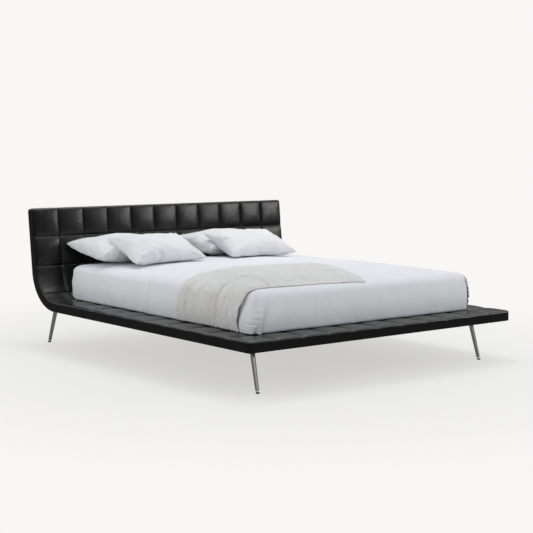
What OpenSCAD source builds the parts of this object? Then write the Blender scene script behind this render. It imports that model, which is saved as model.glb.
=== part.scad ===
// Low platform bed whose upholstered base sweeps up in one bend into the headboard,
// on four splayed steel legs, with slats, mattress, bedding, pillows and a throw.
// Rows of parts: +X to the right seen from the foot end, +Y towards the headboard, +Z up.

/* [Overall] */
// Width of the bed over the leather
bed_w = 2200; // [1800:20:2640]
// Height of the platform's top above the floor
platform_h = 322; // [270:1:400]
// Flat length of the platform, from the foot edge to the start of the bend
flat_len = 2056; // [1720:1:2460]
// Height of the headboard's front edge above the platform's top
headboard_h = 613; // [480:1:760]

/* [Bend] */
// Radius of the bend, measured on the leather's front surface
bend_r = 215; // [190:1:260]
// Angle by which the headboard leans back from upright
lean = 7.2; // [4:0.1:12]

/* [Upholstery] */
// Side of one quilted square
tile = 200; // [160:1:240]
// Thickness of the leather and of the lining
leather_t = 2; // [1.5:0.1:3]
// Foam on the top of the platform and the front of the headboard
foam_t = 25; // [20:1:35]
// Foam round the outer edges
edge_foam_t = 8; // [6:1:12]
// How far the border runs under the mattress
tuck_w = 30; // [25:1:45]
// Width of the leather turned under the platform
turn_under = 60; // [40:1:90]

/* [Frame] */
// Thickness of the platform boards
board_t = 36; // [30:1:44]
// Thickness of each plywood skin of the headboard
skin_t = 4; // [3:0.5:6]
// Width of the cross rail at the start of the bend
cross_rail_w = 80; // [70:1:100]
// Width of each headboard rib
rib_w = 60; // [50:1:80]
// Number of ribs between the two end ribs
inner_ribs = 3; // [1:1:5]
// Height of the headboard's top rail
top_rail_h = 70; // [50:1:90]

/* [Slats] */
// Number of slats on each side of the centre beam
slat_count = 13; // [10:1:14]
// Width of a slat
slat_w = 68; // [60:1:75]
// Thickness of a slat
slat_t = 8; // [7:0.5:9]
// Wall of the rubber caps that hold the slats
cap_wall = 3; // [2.5:0.5:4]
// Width of the centre beam
beam_w = 80; // [60:1:90]
// Wall of the centre beam
beam_wall = 3; // [2:0.5:4]
// Width of the ledge that carries the slats
ledge_w = 30; // [28:1:40]
// Height of the ledge
ledge_h = 30; // [24:1:32]

/* [Legs] */
// Distance of each foot from the bed's side edge, on the floor
leg_inset = 160; // [140:1:190]
// Distance of the front feet from the foot edge, on the floor
leg_setback = 117; // [80:1:160]
// Splay of the legs along the bed
splay_along = 16; // [10:0.5:20]
// Splay of the legs across the bed
splay_across = 3; // [0:0.5:5]
// Diameter of a leg at its top
leg_top_d = 30; // [26:1:36]
// Diameter of a leg at its foot
leg_foot_d = 22; // [20:1:26]
// Wall of the leg tube
leg_wall = 2; // [1.5:0.5:2.5]
// Side of the steel plate at the top of each leg
plate_w = 110; // [100:1:120]
// Thickness of the leg plate
plate_t = 5; // [4:0.5:8]

/* [Bedding] */
// How far the mattress runs past the start of the bend
mattress_reach = 97; // [60:1:110]
// Height of the mattress
mattress_h = 245; // [200:1:260]
// Thickness of the fitted sheet
sheet_t = 2; // [1:0.5:4]
// Thickness of the coverlet
coverlet_t = 14; // [8:1:20]
// Length of the coverlet on the bed, from the mattress's foot end
coverlet_len = 1125; // [900:1:1400]
// Thickness of the throw
throw_t = 8; // [5:1:12]
// Width of the throw along the bed
throw_w = 820; // [600:1:900]
// Distance of the throw's edge from the mattress's foot end
throw_offset = 95; // [60:1:200]
// How far the throw reaches past the bed's centre line
throw_reach = 200; // [0:1:400]
// Width of a back pillow
back_pillow_w = 660; // [560:1:720]
// Depth of a back pillow
back_pillow_d = 400; // [360:1:430]
// Width of a front pillow
front_pillow_w = 580; // [480:1:620]
// Depth of a front pillow
front_pillow_d = 345; // [320:1:350]

/* [Hidden] */

// Fineness of the curves
$fn = 96;
bend_steps = 30;
far = 4000;
cut = 1;

// The panel's layers, as distances behind the leather's front surface
panel_t = 2 * leather_t + foam_t + board_t;
foam_top = leather_t;
board_top = leather_t + foam_t;
board_under = board_top + board_t;
rib_front = board_top + skin_t;
rib_back = board_under - skin_t;

// The headboard's profile
bend_end_z = bend_r * (1 - sin(lean));
straight_len = (headboard_h - bend_end_z) / cos(lean);
overall_len = flat_len + (bend_r + panel_t) * cos(lean) + straight_len * sin(lean);

// Half widths across the bed
half_w = bed_w / 2;
board_half = half_w - leather_t - edge_foam_t;
inner_half = half_w - tile - tuck_w;
edge_t = leather_t + edge_foam_t;
board_start = edge_t;
foot_inner_y = tile + tuck_w;
cross_y = flat_len - cross_rail_w;

// Slats and their carriers
cap_clear = 0.2;
cap_top = 1;
slat_top = cap_top + cap_wall;
ledge_top = slat_top + slat_t + cap_wall;
end_gap = 4;
lining_gap = 4;
beam_h = board_under - ledge_top - end_gap - lining_gap;
carrier_start = foot_inner_y + end_gap;
carrier_len = cross_y - foot_inner_y - 2 * end_gap;
slat_pitch = carrier_len / slat_count;
cap_w = slat_w + 2 * cap_wall;
cap_len = 36;

// Screws and dowels
bolt_r = 4;
bolt_clear = 0.1;
seam = 0.02;
bolt_head_r = 7;
bolt_head_h = 5;
dowel_r = 5;
dowel_len = 60;
fit_clear = 0.05;
screw_r = 2.5;
screw_len = 25;
screw_head_r = 4.5;
screw_head_h = 2;

// Legs: the axis runs from the floor up through each leg
tilt_y = tan(splay_along);
tilt_x = tan(splay_across);
foot_pad_r = 11;
foot_pad_h = 7;
ball_r = 5;
ball_clear = 0.3;
stud_r = 4;
stud_len = 46;
tube_start = 15;
insert_len = 28;
leg_x = half_w - leg_inset;
front_foot_y = leg_setback;
rear_foot_y = overall_len - foot_pad_r;
plate_under = panel_t + plate_t;
front_rise = platform_h - plate_under;
front_plate = [leg_x - front_rise * tilt_x, front_foot_y + front_rise * tilt_y];

// Where the rear leg's axis enters the circle of the plate's outer face
saddle_r = bend_r + plate_under;
rel_y = rear_foot_y - flat_len;
rel_z = -platform_h - bend_r;
qa = tilt_y * tilt_y + 1;
qb = 2 * (rel_z - rel_y * tilt_y);
qc = rel_y * rel_y + rel_z * rel_z - saddle_r * saddle_r;
rear_rise = (-qb - sqrt(qb * qb - 4 * qa * qc)) / (2 * qa);
saddle_y = rel_y - rear_rise * tilt_y;
saddle_z = rel_z + rear_rise;
saddle_angle = atan2(-saddle_z, saddle_y);
rear_plate_x = leg_x - rear_rise * tilt_x;
bolt_place = 0.345;
bolt_spread = plate_w * bolt_place;
bolt_turn = bolt_spread / saddle_r * 180 / PI;
bolt_end_gap = 6;
leg_bolt_len = plate_t + leather_t + board_t - skin_t - bolt_end_gap;

// Bedding
mattress_half = half_w - tile;
mattress_y = tile + sheet_t + 1;
mattress_end = flat_len + mattress_reach;
corner_r = 60;
heel_r = 100;
gap = 1;
sheet_half = mattress_half + sheet_t;
sheet_top = mattress_h + sheet_t;
coverlet_half = sheet_half + gap + coverlet_t;
coverlet_top = sheet_top + gap + coverlet_t;
throw_y = mattress_y + throw_offset;
pillow_edge_r = 8;
back_pillow_tilt = 6;
front_pillow_tilt = 22;
back_pillow_x = [-535, 365];
front_pillow_x = [-460, 350];
back_pillow_belly = 80;
front_pillow_belly = 52;
pillow_crown = 45;
front_pillow_shift = -41;
pillow_core_w = 0.54;
pillow_core_d = 0.3;
back_pillow_room = 6;
back_pillow_rise = 96;
front_pillow_ahead = 286;
front_pillow_rise = 105;

// Moves a piece from the platform's own frame (foot edge, platform top) to the bed's frame
module place() {
    translate([0, -overall_len / 2, platform_h]) children();
}

// Turns an outline in the bed's side view into a solid from x_from to x_to
module across(x_from, x_to) {
    translate([x_from, 0, 0])
        rotate([90, 0, 90])
            linear_extrude(height = x_to - x_from) children();
}

// Points along the bend at a distance behind the front surface, from the flat to the headboard
function bend_points(depth) = [
    for (i = [0 : bend_steps])
        let (angle = -90 + i * (90 - lean) / bend_steps)
            [flat_len + (bend_r + depth) * cos(angle), bend_r + (bend_r + depth) * sin(angle)]
];

// Point up the headboard's straight part, at a height along it and a distance behind its front
function straight_point(height, depth) = [
    flat_len + (bend_r + depth) * cos(lean) + height * sin(lean),
    bend_r - (bend_r + depth) * sin(lean) + height * cos(lean)
];

function backwards(points) = [for (i = [len(points) - 1 : -1 : 0]) points[i]];

// Side view of a layer that follows the platform, the bend and the headboard
module bent_layer(front, back, start_y, top_cut) {
    flat_front = start_y < flat_len ? [[start_y, -front]] : [];
    flat_back = start_y < flat_len ? [[start_y, -back]] : [];
    polygon(concat(
        flat_front, bend_points(front), [straight_point(straight_len - top_cut, front)],
        [straight_point(straight_len - top_cut, back)], backwards(bend_points(back)), flat_back
    ));
}

// Side view of a bar across the headboard's straight part
module straight_layer(front, back, low, high) {
    polygon([
        straight_point(low, front), straight_point(high, front),
        straight_point(high, back), straight_point(low, back)
    ]);
}

// Part of the bend between two angles, measured from the level
module bend_sector(front, back, angle_from, angle_to) {
    intersection() {
        polygon(concat(bend_points(front), backwards(bend_points(back))));
        translate([flat_len, bend_r]) polygon([
            [0, 0],
            [far * cos(angle_from), far * sin(angle_from)],
            [far * cos(angle_to), far * sin(angle_to)]
        ]);
    }
}

// Bar between two corners
module bar(low, high) {
    translate(low) cube([high[0] - low[0], high[1] - low[1], high[2] - low[2]]);
}

// Draws the child on the left and on the right of the bed
module both_sides() {
    children();
    mirror([1, 0, 0]) children();
}

// ---- platform boards ----

// Board under one side of the quilted border
module side_board(side) {
    color("burlywood") place() difference() {
        mirror([side < 0 ? 1 : 0, 0, 0])
            bar([inner_half, board_start, -board_under], [board_half, cross_y, -board_top]);
        dowel_set(dowel_r + fit_clear);
        corner_screw_set(screw_r + fit_clear, 0);
        leg_bolt_set(bolt_r + bolt_clear, false);
    }
}

module foot_board() {
    color("burlywood") place() difference() {
        bar([-inner_half, board_start, -board_under], [inner_half, foot_inner_y, -board_top]);
        dowel_set(dowel_r + fit_clear);
        corner_screw_set(screw_r + fit_clear, 0);
    }
}

// Full-width rail where the platform meets the headboard's ribs
module head_cross_rail() {
    color("burlywood") place() difference() {
        bar([-board_half, cross_y, -board_under], [board_half, flat_len, -board_top]);
        dowel_set(dowel_r + fit_clear);
        corner_screw_set(screw_r + fit_clear, 0);
        headboard_bolt_set(bolt_r + bolt_clear, bolt_head_r + 1, 1);
    }
}

// Dowels at the four corners of the platform
module dowel_set(r) {
    mid_z = -(board_top + board_under) / 2;
    both_sides() {
        for (y = [board_start + 50, foot_inner_y - 50])
            translate([inner_half - dowel_len / 2, y, mid_z])
                rotate([0, 90, 0]) cylinder(r = r, h = dowel_len);
        for (x = [inner_half + 50, inner_half + 140])
            translate([x, cross_y - dowel_len / 2, mid_z])
                rotate([-90, 0, 0]) cylinder(r = r, h = dowel_len);
    }
}

module corner_dowels() {
    color("tan") place() dowel_set(dowel_r);
}

// Steel angle in each inner corner of the platform, below the slat ledge
bracket_leg = 60;
bracket_t = 4;
bracket_low = board_under - 1;
bracket_high = ledge_top + ledge_h + 1;
module corner_brackets() {
    color("silver") place() both_sides() {
        corner_angle(foot_inner_y, 1);
        corner_angle(cross_y, -1);
    }
}

module corner_angle(y, dir) {
    difference() {
        union() {
            translate([inner_half - bracket_t, min(y, y + dir * bracket_leg), -bracket_low])
                cube([bracket_t, bracket_leg, bracket_low - bracket_high]);
            translate([inner_half - bracket_leg, min(y, y + dir * bracket_t), -bracket_low])
                cube([bracket_leg, bracket_t, bracket_low - bracket_high]);
        }
        corner_screws(y, dir, screw_r + fit_clear, 0);
    }
}

// One screw into the side board and one into the end board of a corner
module corner_screws(y, dir, r, head_r) {
    mid_z = -(bracket_low + bracket_high) / 2;
    translate([inner_half - bracket_t, y + dir * 40, mid_z])
        rotate([0, 90, 0]) screw(r, head_r);
    translate([inner_half - 40, y + dir * bracket_t, mid_z])
        rotate([dir * 90, 0, 0]) screw(r, head_r);
}

// Screw along +Z with its head below the origin
module screw(r, head_r) {
    cylinder(r = r, h = screw_len);
    if (head_r > 0)
        translate([0, 0, -screw_head_h]) cylinder(r = head_r, h = screw_head_h);
}

module corner_screw_set(r, head_r) {
    both_sides() {
        corner_screws(foot_inner_y, 1, r, head_r);
        corner_screws(cross_y, -1, r, head_r);
    }
}

module bracket_screws() {
    color("dimgray") place() corner_screw_set(screw_r, screw_head_r);
}

// ---- centre beam and slats ----

module centre_beam() {
    color("dimgray") place() difference() {
        bar([-beam_w / 2, carrier_start, -ledge_top - beam_h],
            [beam_w / 2, carrier_start + carrier_len, -ledge_top]);
        bar([-beam_w / 2 + beam_wall, 0, -ledge_top - beam_h + beam_wall],
            [beam_w / 2 - beam_wall, flat_len, -ledge_top - beam_wall]);
    }
}

// Angle under each end of the beam, against the end boards
module beam_hangers() {
    shelf = 50;
    color("silver") place() for (end = [0, 1]) {
        face_y = end == 0 ? foot_inner_y : cross_y - end_gap;
        shelf_y = end == 0 ? foot_inner_y : cross_y - shelf;
        bar([-beam_w / 2, face_y, -board_under], [beam_w / 2, face_y + end_gap, -board_top]);
        bar([-beam_w / 2, shelf_y, -ledge_top - beam_h - end_gap],
            [beam_w / 2, shelf_y + shelf, -ledge_top - beam_h]);
    }
}

module slat_ledge(side) {
    color("burlywood") place() mirror([side < 0 ? 1 : 0, 0, 0])
        bar([inner_half - ledge_w, carrier_start, -ledge_top - ledge_h],
            [inner_half, carrier_start + carrier_len, -ledge_top]);
}

// Middle of the slat with this number, counted from the foot end
function slat_y(i) = carrier_start + (i + 0.5) * slat_pitch;

// Room that a slat takes, with a margin all round
module slat_room(i, x_from, x_to, margin) {
    translate([x_from, slat_y(i) - slat_w / 2 - margin, -slat_top - slat_t - margin])
        cube([x_to - x_from, slat_w + 2 * margin, slat_t + 2 * margin]);
}

slat_in = cap_wall + 2;
slat_out = inner_half - cap_wall - 1;
module slats(side) {
    color("wheat") place() mirror([side < 0 ? 1 : 0, 0, 0])
        for (i = [0 : slat_count - 1]) slat_room(i, slat_in, slat_out, 0);
}

// Rubber caps on the ledges, one for each slat end
module side_slat_caps() {
    color("black") place() both_sides() for (i = [0 : slat_count - 1]) difference() {
        translate([inner_half - cap_len, slat_y(i) - cap_w / 2, -ledge_top])
            cube([cap_len, cap_w, ledge_top - cap_top]);
        slat_room(i, inner_half - 2 * cap_len, slat_out + cap_clear, cap_clear);
    }
}

// Double caps on the beam, each holding a left and a right slat
module centre_slat_caps() {
    color("black") place() for (i = [0 : slat_count - 1]) difference() {
        translate([-cap_len, slat_y(i) - cap_w / 2, -ledge_top])
            cube([2 * cap_len, cap_w, ledge_top - cap_top]);
        slat_room(i, slat_in - cap_clear, 2 * cap_len, cap_clear);
        mirror([1, 0, 0]) slat_room(i, slat_in - cap_clear, 2 * cap_len, cap_clear);
    }
}

// ---- headboard frame ----

rib_pitch = (2 * board_half - rib_w) / (inner_ribs + 1);
function rib_x(i) = -board_half + rib_w / 2 + i * rib_pitch;

module rib(i) {
    difference() {
        across(rib_x(i) - rib_w / 2, rib_x(i) + rib_w / 2)
            bent_layer(rib_front + seam, rib_back, flat_len, edge_t + top_rail_h + seam);
        headboard_bolt_set(bolt_r + bolt_clear, 0, 0);
    }
}

module headboard_rib_left() {
    color("burlywood") place() rib(0);
}

module headboard_rib_right() {
    color("burlywood") place() rib(inner_ribs + 1);
}

module headboard_inner_ribs() {
    color("burlywood") place() for (i = [1 : inner_ribs]) rib(i);
}

module headboard_top_rail() {
    rail_top = straight_len - edge_t;
    color("burlywood") place() across(-board_half, board_half)
        straight_layer(rib_front + seam, rib_back, rail_top - top_rail_h, rail_top);
}

module headboard_front_skin() {
    color("tan") place() across(-board_half, board_half)
        bent_layer(board_top + seam, rib_front, flat_len, edge_t);
}

module headboard_back_skin() {
    color("tan") place() difference() {
        across(-board_half, board_half) bent_layer(rib_back + seam, board_under, flat_len, edge_t);
        leg_bolt_set(bolt_r + bolt_clear, false);
    }
}

// Solid block inside the bend behind each rear leg plate
module rear_leg_blocks() {
    block_turn = plate_w / saddle_r * 90 / PI + 2;
    color("burlywood") place() difference() {
        both_sides() across(rear_plate_x - plate_w / 2, rear_plate_x + plate_w / 2)
            bend_sector(rib_front + seam, rib_back, -saddle_angle - block_turn,
                        -saddle_angle + block_turn);
        leg_bolt_set(bolt_r + bolt_clear, false);
    }
}

// Bolts through the cross rail into the ribs' lower ends
headboard_bolt_len = cross_rail_w + 36;
module headboard_bolt_set(r, head_r, extra) {
    mid_z = -(board_top + board_under) / 2;
    for (i = [0 : inner_ribs + 1])
        translate([rib_x(i), cross_y, mid_z]) rotate([-90, 0, 0]) {
            translate([0, 0, bolt_head_h]) cylinder(r = r, h = headboard_bolt_len - bolt_head_h);
            if (head_r > 0)
                translate([0, 0, -extra]) cylinder(r = head_r, h = bolt_head_h + extra);
        }
}

module headboard_bolts() {
    color("silver") place() headboard_bolt_set(bolt_r, bolt_head_r, 0);
}

// ---- foam ----

module side_foam(side) {
    color("khaki") place() mirror([side < 0 ? 1 : 0, 0, 0]) {
        bar([inner_half, leather_t, -board_top], [half_w - leather_t, cross_y, -foam_top]);
        bar([board_half, leather_t, -board_under], [half_w - leather_t, cross_y, -board_top]);
        bar([inner_half, leather_t, -board_under], [board_half, board_start, -board_top]);
    }
}

module foot_foam() {
    color("khaki") place() {
        bar([-inner_half, leather_t, -board_top], [inner_half, foot_inner_y, -foam_top]);
        bar([-inner_half, leather_t, -board_under], [inner_half, board_start, -board_top]);
    }
}

// Foam over the cross rail, round the bend and up the headboard, with its edge strips
module headboard_foam() {
    foam_half = half_w - leather_t;
    color("khaki") place() {
        across(-foam_half, foam_half)
            bent_layer(foam_top + seam, board_top, cross_y, leather_t + seam);
        for (x = [-foam_half, board_half + seam])
            across(x, x + edge_foam_t - seam)
                bent_layer(foam_top + seam, board_under, cross_y, leather_t + seam);
        across(-foam_half, foam_half)
            straight_layer(foam_top + seam, board_under, straight_len - edge_t + seam,
                           straight_len - leather_t - seam);
    }
}

// ---- leather and lining ----

module side_cover(side) {
    color("black") place() mirror([side < 0 ? 1 : 0, 0, 0]) {
        bar([inner_half, 0, -leather_t], [half_w, cross_y, 0]);
        bar([half_w - leather_t, 0, -panel_t], [half_w, cross_y, -leather_t]);
        bar([inner_half, 0, -panel_t], [half_w - leather_t, leather_t, -leather_t]);
        bar([half_w - turn_under, leather_t, -panel_t], [half_w - leather_t, cross_y, -board_under]);
    }
}

module foot_cover() {
    color("black") place() {
        bar([-inner_half, 0, -leather_t], [inner_half, foot_inner_y, 0]);
        bar([-inner_half, 0, -panel_t], [inner_half, leather_t, -leather_t]);
        bar([-inner_half, leather_t, -panel_t], [inner_half, turn_under, -board_under]);
    }
}

module headboard_front_cover() {
    color("black") place() {
        across(-half_w, half_w) bent_layer(0, leather_t, cross_y, 0);
        for (x = [-half_w, half_w - leather_t])
            across(x, x + leather_t) bent_layer(0, board_under, cross_y, 0);
        across(-half_w, half_w)
            straight_layer(0, board_under, straight_len - leather_t, straight_len);
    }
}

module headboard_back_cover() {
    color("black") place() difference() {
        across(-half_w, half_w) bent_layer(board_under + seam, panel_t, cross_y, 0);
        leg_bolt_set(bolt_r + bolt_clear, false);
    }
}

// Black lining stapled under the platform
module underside_lining() {
    lining_half = half_w - turn_under;
    color("dimgray") place() difference() {
        union() {
            bar([-lining_half, turn_under, -panel_t], [lining_half, cross_y, -board_under]);
            both_sides() bar([inner_half, leather_t, -panel_t], [lining_half, turn_under, -board_under]);
        }
        leg_bolt_set(bolt_r + bolt_clear, false);
    }
}

// ---- legs ----

// Bolts of all four leg plates, from below the plate into the board
module leg_bolt_set(r, heads) {
    both_sides() {
        for (dx = [-1, 1], dy = [-1, 1])
            translate([front_plate[0] + dx * bolt_spread, front_plate[1] + dy * bolt_spread,
                       -plate_under])
                leg_bolt(r, heads);
        for (dx = [-1, 1], turn = [-1, 1])
            translate([rear_plate_x + dx * bolt_spread, flat_len, bend_r])
                rotate([90 - saddle_angle - turn * bolt_turn, 0, 0])
                    translate([0, 0, -saddle_r]) leg_bolt(r, heads);
    }
}

// One bolt along +Z from the plate's outer face
module leg_bolt(r, heads) {
    cylinder(r = r, h = leg_bolt_len);
    if (heads)
        translate([0, 0, -bolt_head_h]) cylinder(r = bolt_head_r, h = bolt_head_h, $fn = 6);
}

module leg_bolts() {
    color("silver") place() leg_bolt_set(bolt_r, true);
}

// Flat plates under the foot end and saddle plates on the bend
module leg_plates() {
    half_turn = plate_w / saddle_r * 90 / PI;
    color("dimgray") place() difference() {
        both_sides() {
            translate([front_plate[0] - plate_w / 2, front_plate[1] - plate_w / 2, -plate_under])
                cube([plate_w, plate_w, plate_t]);
            across(rear_plate_x - plate_w / 2, rear_plate_x + plate_w / 2)
                bend_sector(panel_t + seam, plate_under, -saddle_angle - half_turn,
                            -saddle_angle + half_turn);
        }
        leg_bolt_set(bolt_r + bolt_clear, false);
    }
}

// Puts a piece drawn along +Z onto a leg's axis, with z = 0 where the axis meets the floor
module on_leg(side, end) {
    dx = -side * tilt_x;
    dy = end == 0 ? tilt_y : -tilt_y;
    turn_y = atan(dx);
    turn_x = -atan(dy * cos(turn_y));
    translate([side * leg_x, end == 0 ? front_foot_y : rear_foot_y, -platform_h])
        rotate([0, turn_y, 0]) rotate([turn_x, 0, 0]) children();
}

leg_reach = max(front_rise, rear_rise) * 1.3;

// Tapered tube, cut to fit its plate
module leg(side, end) {
    foot_r = leg_foot_d / 2;
    top_r = leg_top_d / 2;
    slope = (top_r - foot_r) / front_rise;
    color("gainsboro") place() difference() {
        on_leg(side, end) translate([0, 0, tube_start]) difference() {
            cylinder(r1 = foot_r, r2 = foot_r + slope * leg_reach, h = leg_reach);
            translate([0, 0, -cut]) cylinder(r = foot_r - leg_wall, h = insert_len + 2 + cut);
            translate([0, 0, insert_len + 1])
                cylinder(r1 = foot_r - leg_wall, r2 = foot_r - leg_wall + slope * leg_reach,
                         h = leg_reach);
        }
        if (end == 0)
            bar([-half_w, 0, -plate_under], [half_w, flat_len, far]);
        else
            across(-half_w, half_w)
                polygon(concat([[flat_len, bend_r]], bend_points(plate_under + seam)));
    }
}

// Threaded plug pressed into the foot of each leg
module leg_inserts() {
    color("silver") place() for (side = [-1, 1], end = [0, 1])
        on_leg(side, end) translate([0, 0, tube_start]) difference() {
            cylinder(r = leg_foot_d / 2 - leg_wall, h = insert_len);
            translate([0, 0, -cut]) cylinder(r = stud_r + fit_clear, h = insert_len + 2 * cut);
        }
}

// Threaded stud with the ball of the levelling foot
ball_z = foot_pad_h + 1;
module stud(side, end) {
    along = ball_z * sqrt(1 + tilt_y * tilt_y + tilt_x * tilt_x);
    color("silver") place() on_leg(side, end) {
        translate([0, 0, along]) sphere(r = ball_r);
        translate([0, 0, along]) cylinder(r = stud_r, h = stud_len - along);
    }
}

// Level foot disc with the socket for the ball
module glide(side, end) {
    color("black") place() difference() {
        translate([side * leg_x, end == 0 ? front_foot_y : rear_foot_y, -platform_h])
            cylinder(r = foot_pad_r, h = foot_pad_h);
        translate([side * leg_x - side * ball_z * tilt_x,
                   (end == 0 ? front_foot_y : rear_foot_y) + (end == 0 ? 1 : -1) * ball_z * tilt_y,
                   -platform_h + ball_z])
            sphere(r = ball_r + ball_clear);
    }
}

// ---- bedding ----

// Rounded block that the mattress and the layers over it are cut from
module bedding_block(half, y_from, y_to, top, r, base) {
    translate([0, 0, base]) linear_extrude(height = top - base) {
        translate([-half + r, y_from]) square([2 * (half - r), y_to - y_from]);
        translate([-half, y_from + r]) square([2 * half, y_to - y_from - 2 * r]);
        for (x = [-half + r, half - r], y = [y_from + r, y_to - r])
            translate([x, y]) circle(r = r);
    }
}

// Room below the mattress's lower head edge, which is pressed round by the bend
module heel_room(grow) {
    across(-half_w, half_w) translate([mattress_end + grow - heel_r, 0]) difference() {
        translate([0, -cut]) square([heel_r + far / 10, heel_r + cut]);
        translate([0, heel_r]) circle(r = heel_r);
    }
}

module mattress() {
    color("white") place() difference() {
        bedding_block(mattress_half, mattress_y, mattress_end, mattress_h, corner_r, 0);
        heel_room(0);
    }
}

module fitted_sheet() {
    color("white") place() difference() {
        bedding_block(sheet_half, mattress_y - sheet_t, mattress_end + sheet_t, sheet_top,
                      corner_r + sheet_t, gap);
        bedding_block(mattress_half, mattress_y, mattress_end, mattress_h, corner_r, -cut);
        heel_room(sheet_t);
    }
}

module coverlet() {
    inside = sheet_t + gap;
    color("white") place() difference() {
        bedding_block(coverlet_half, mattress_y - inside - coverlet_t,
                      mattress_y + coverlet_len, coverlet_top, corner_r + inside + coverlet_t, gap);
        bedding_block(mattress_half + inside, mattress_y - inside, mattress_end + inside,
                      sheet_top + gap, corner_r + inside, -cut);
        bar([-half_w, mattress_y + coverlet_len - corner_r - inside - coverlet_t, -cut],
            [half_w, flat_len + bend_r, 2 * mattress_h]);
    }
}

// Part of the throw that lies on the coverlet
module throw_top() {
    color("gainsboro") place()
        bar([-coverlet_half - gap - throw_t, throw_y, coverlet_top + gap],
            [throw_reach, throw_y + throw_w, coverlet_top + gap + throw_t]);
}

// Part of the throw that hangs down the left side
module throw_drop() {
    color("gainsboro") place()
        bar([-coverlet_half - gap - throw_t, throw_y, 3 * gap],
            [-coverlet_half - gap, throw_y + throw_w, coverlet_top + gap]);
}

// Pillow, thin at its four corners, with a belly that hangs below them and a crown above
module pillow(w, d, belly, crown, shift, turn) {
    rotate([turn, 0, 0]) hull() {
        for (x = [-w / 2, w / 2], y = [-d / 2, d / 2])
            translate([x, y, 0]) sphere(r = pillow_edge_r, $fn = 16);
        translate([-w * pillow_core_w / 2, shift - d * pillow_core_d / 2, -belly])
            cube([w * pillow_core_w, d * pillow_core_d, belly + crown]);
    }
}

// Where the pillows lie: back pillows by the headboard, front pillows over their front edge
back_pillow_y = flat_len - back_pillow_room;
back_pillow_z = sheet_top + back_pillow_rise;
front_pillow_y = back_pillow_y - front_pillow_ahead;
front_pillow_z = sheet_top + front_pillow_rise;

module back_pillow(i) {
    color("white") place() translate([back_pillow_x[i], back_pillow_y, back_pillow_z])
        pillow(back_pillow_w, back_pillow_d, back_pillow_belly, pillow_crown, 0, back_pillow_tilt);
}

module front_pillow(i) {
    color("white") place() translate([front_pillow_x[i], front_pillow_y, front_pillow_z])
        pillow(front_pillow_w, front_pillow_d, front_pillow_belly, pillow_crown,
               front_pillow_shift, front_pillow_tilt);
}

side_board(-1);  // side_board_left
side_board(1);  // side_board_right
foot_board();
head_cross_rail();
corner_dowels();
corner_brackets();
bracket_screws();
centre_beam();
beam_hangers();
slat_ledge(-1);  // slat_ledge_left
slat_ledge(1);  // slat_ledge_right
side_slat_caps();
centre_slat_caps();
slats(-1);  // slats_left
slats(1);  // slats_right
headboard_rib_left();
headboard_rib_right();
headboard_inner_ribs();
headboard_top_rail();
headboard_front_skin();
headboard_back_skin();
rear_leg_blocks();
headboard_bolts();
side_foam(-1);  // side_foam_left
side_foam(1);  // side_foam_right
foot_foam();
headboard_foam();
side_cover(-1);  // side_cover_left
side_cover(1);  // side_cover_right
foot_cover();
headboard_front_cover();
headboard_back_cover();
underside_lining();
leg_plates();
leg_bolts();
leg(-1, 0);  // leg_foot_left
leg(1, 0);  // leg_foot_right
leg(-1, 1);  // leg_head_left
leg(1, 1);  // leg_head_right
leg_inserts();
stud(-1, 0);  // stud_foot_left
stud(1, 0);  // stud_foot_right
stud(-1, 1);  // stud_head_left
stud(1, 1);  // stud_head_right
glide(-1, 0);  // glide_foot_left
glide(1, 0);  // glide_foot_right
glide(-1, 1);  // glide_head_left
glide(1, 1);  // glide_head_right
mattress();
fitted_sheet();
coverlet();
throw_top();
throw_drop();
back_pillow(0);  // pillow_back_left
back_pillow(1);  // pillow_back_right
front_pillow(0);  // pillow_front_left
front_pillow(1);  // pillow_front_right
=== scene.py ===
import math

import bpy
import numpy as np
from mathutils import Matrix, Vector, noise
from mathutils.bvhtree import BVHTree


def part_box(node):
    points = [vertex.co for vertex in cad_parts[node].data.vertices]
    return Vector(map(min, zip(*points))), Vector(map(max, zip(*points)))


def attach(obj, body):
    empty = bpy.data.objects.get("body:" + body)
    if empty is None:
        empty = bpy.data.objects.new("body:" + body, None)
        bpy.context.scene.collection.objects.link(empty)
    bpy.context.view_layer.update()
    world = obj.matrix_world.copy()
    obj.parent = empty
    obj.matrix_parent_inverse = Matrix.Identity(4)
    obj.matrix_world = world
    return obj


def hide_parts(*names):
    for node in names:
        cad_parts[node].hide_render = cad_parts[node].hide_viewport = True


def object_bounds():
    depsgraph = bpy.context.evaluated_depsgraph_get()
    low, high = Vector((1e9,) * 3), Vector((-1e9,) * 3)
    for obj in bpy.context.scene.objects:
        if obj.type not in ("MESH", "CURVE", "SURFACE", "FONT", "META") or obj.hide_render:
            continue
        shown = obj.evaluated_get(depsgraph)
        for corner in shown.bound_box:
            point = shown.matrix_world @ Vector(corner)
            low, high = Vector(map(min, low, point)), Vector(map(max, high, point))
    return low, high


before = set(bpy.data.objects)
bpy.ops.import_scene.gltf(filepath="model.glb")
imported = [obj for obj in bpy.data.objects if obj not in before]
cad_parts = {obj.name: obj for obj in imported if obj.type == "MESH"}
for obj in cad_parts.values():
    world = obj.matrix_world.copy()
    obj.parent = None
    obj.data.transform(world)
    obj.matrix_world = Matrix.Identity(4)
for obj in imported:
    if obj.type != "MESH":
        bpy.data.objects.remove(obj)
cad_low, cad_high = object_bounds()


# ---- Platform boards and their joinery ----
# Four solid boards, glued with dowels and held by steel corner brackets with screws.
# Upholsterers' beech, sawn and planed but left bare under the leather.
def put(tree, kind, inputs=(), **settings):
    """A node in the tree; a socket among its inputs is linked, and anything else is its value."""
    made = tree.nodes.new(kind)
    for name, value in settings.items():
        setattr(made, name, value)
    for name, value in dict(inputs).items():
        if isinstance(value, bpy.types.NodeSocket):
            tree.links.new(value, made.inputs[name])
        else:
            made.inputs[name].default_value = value
    return made


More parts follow.
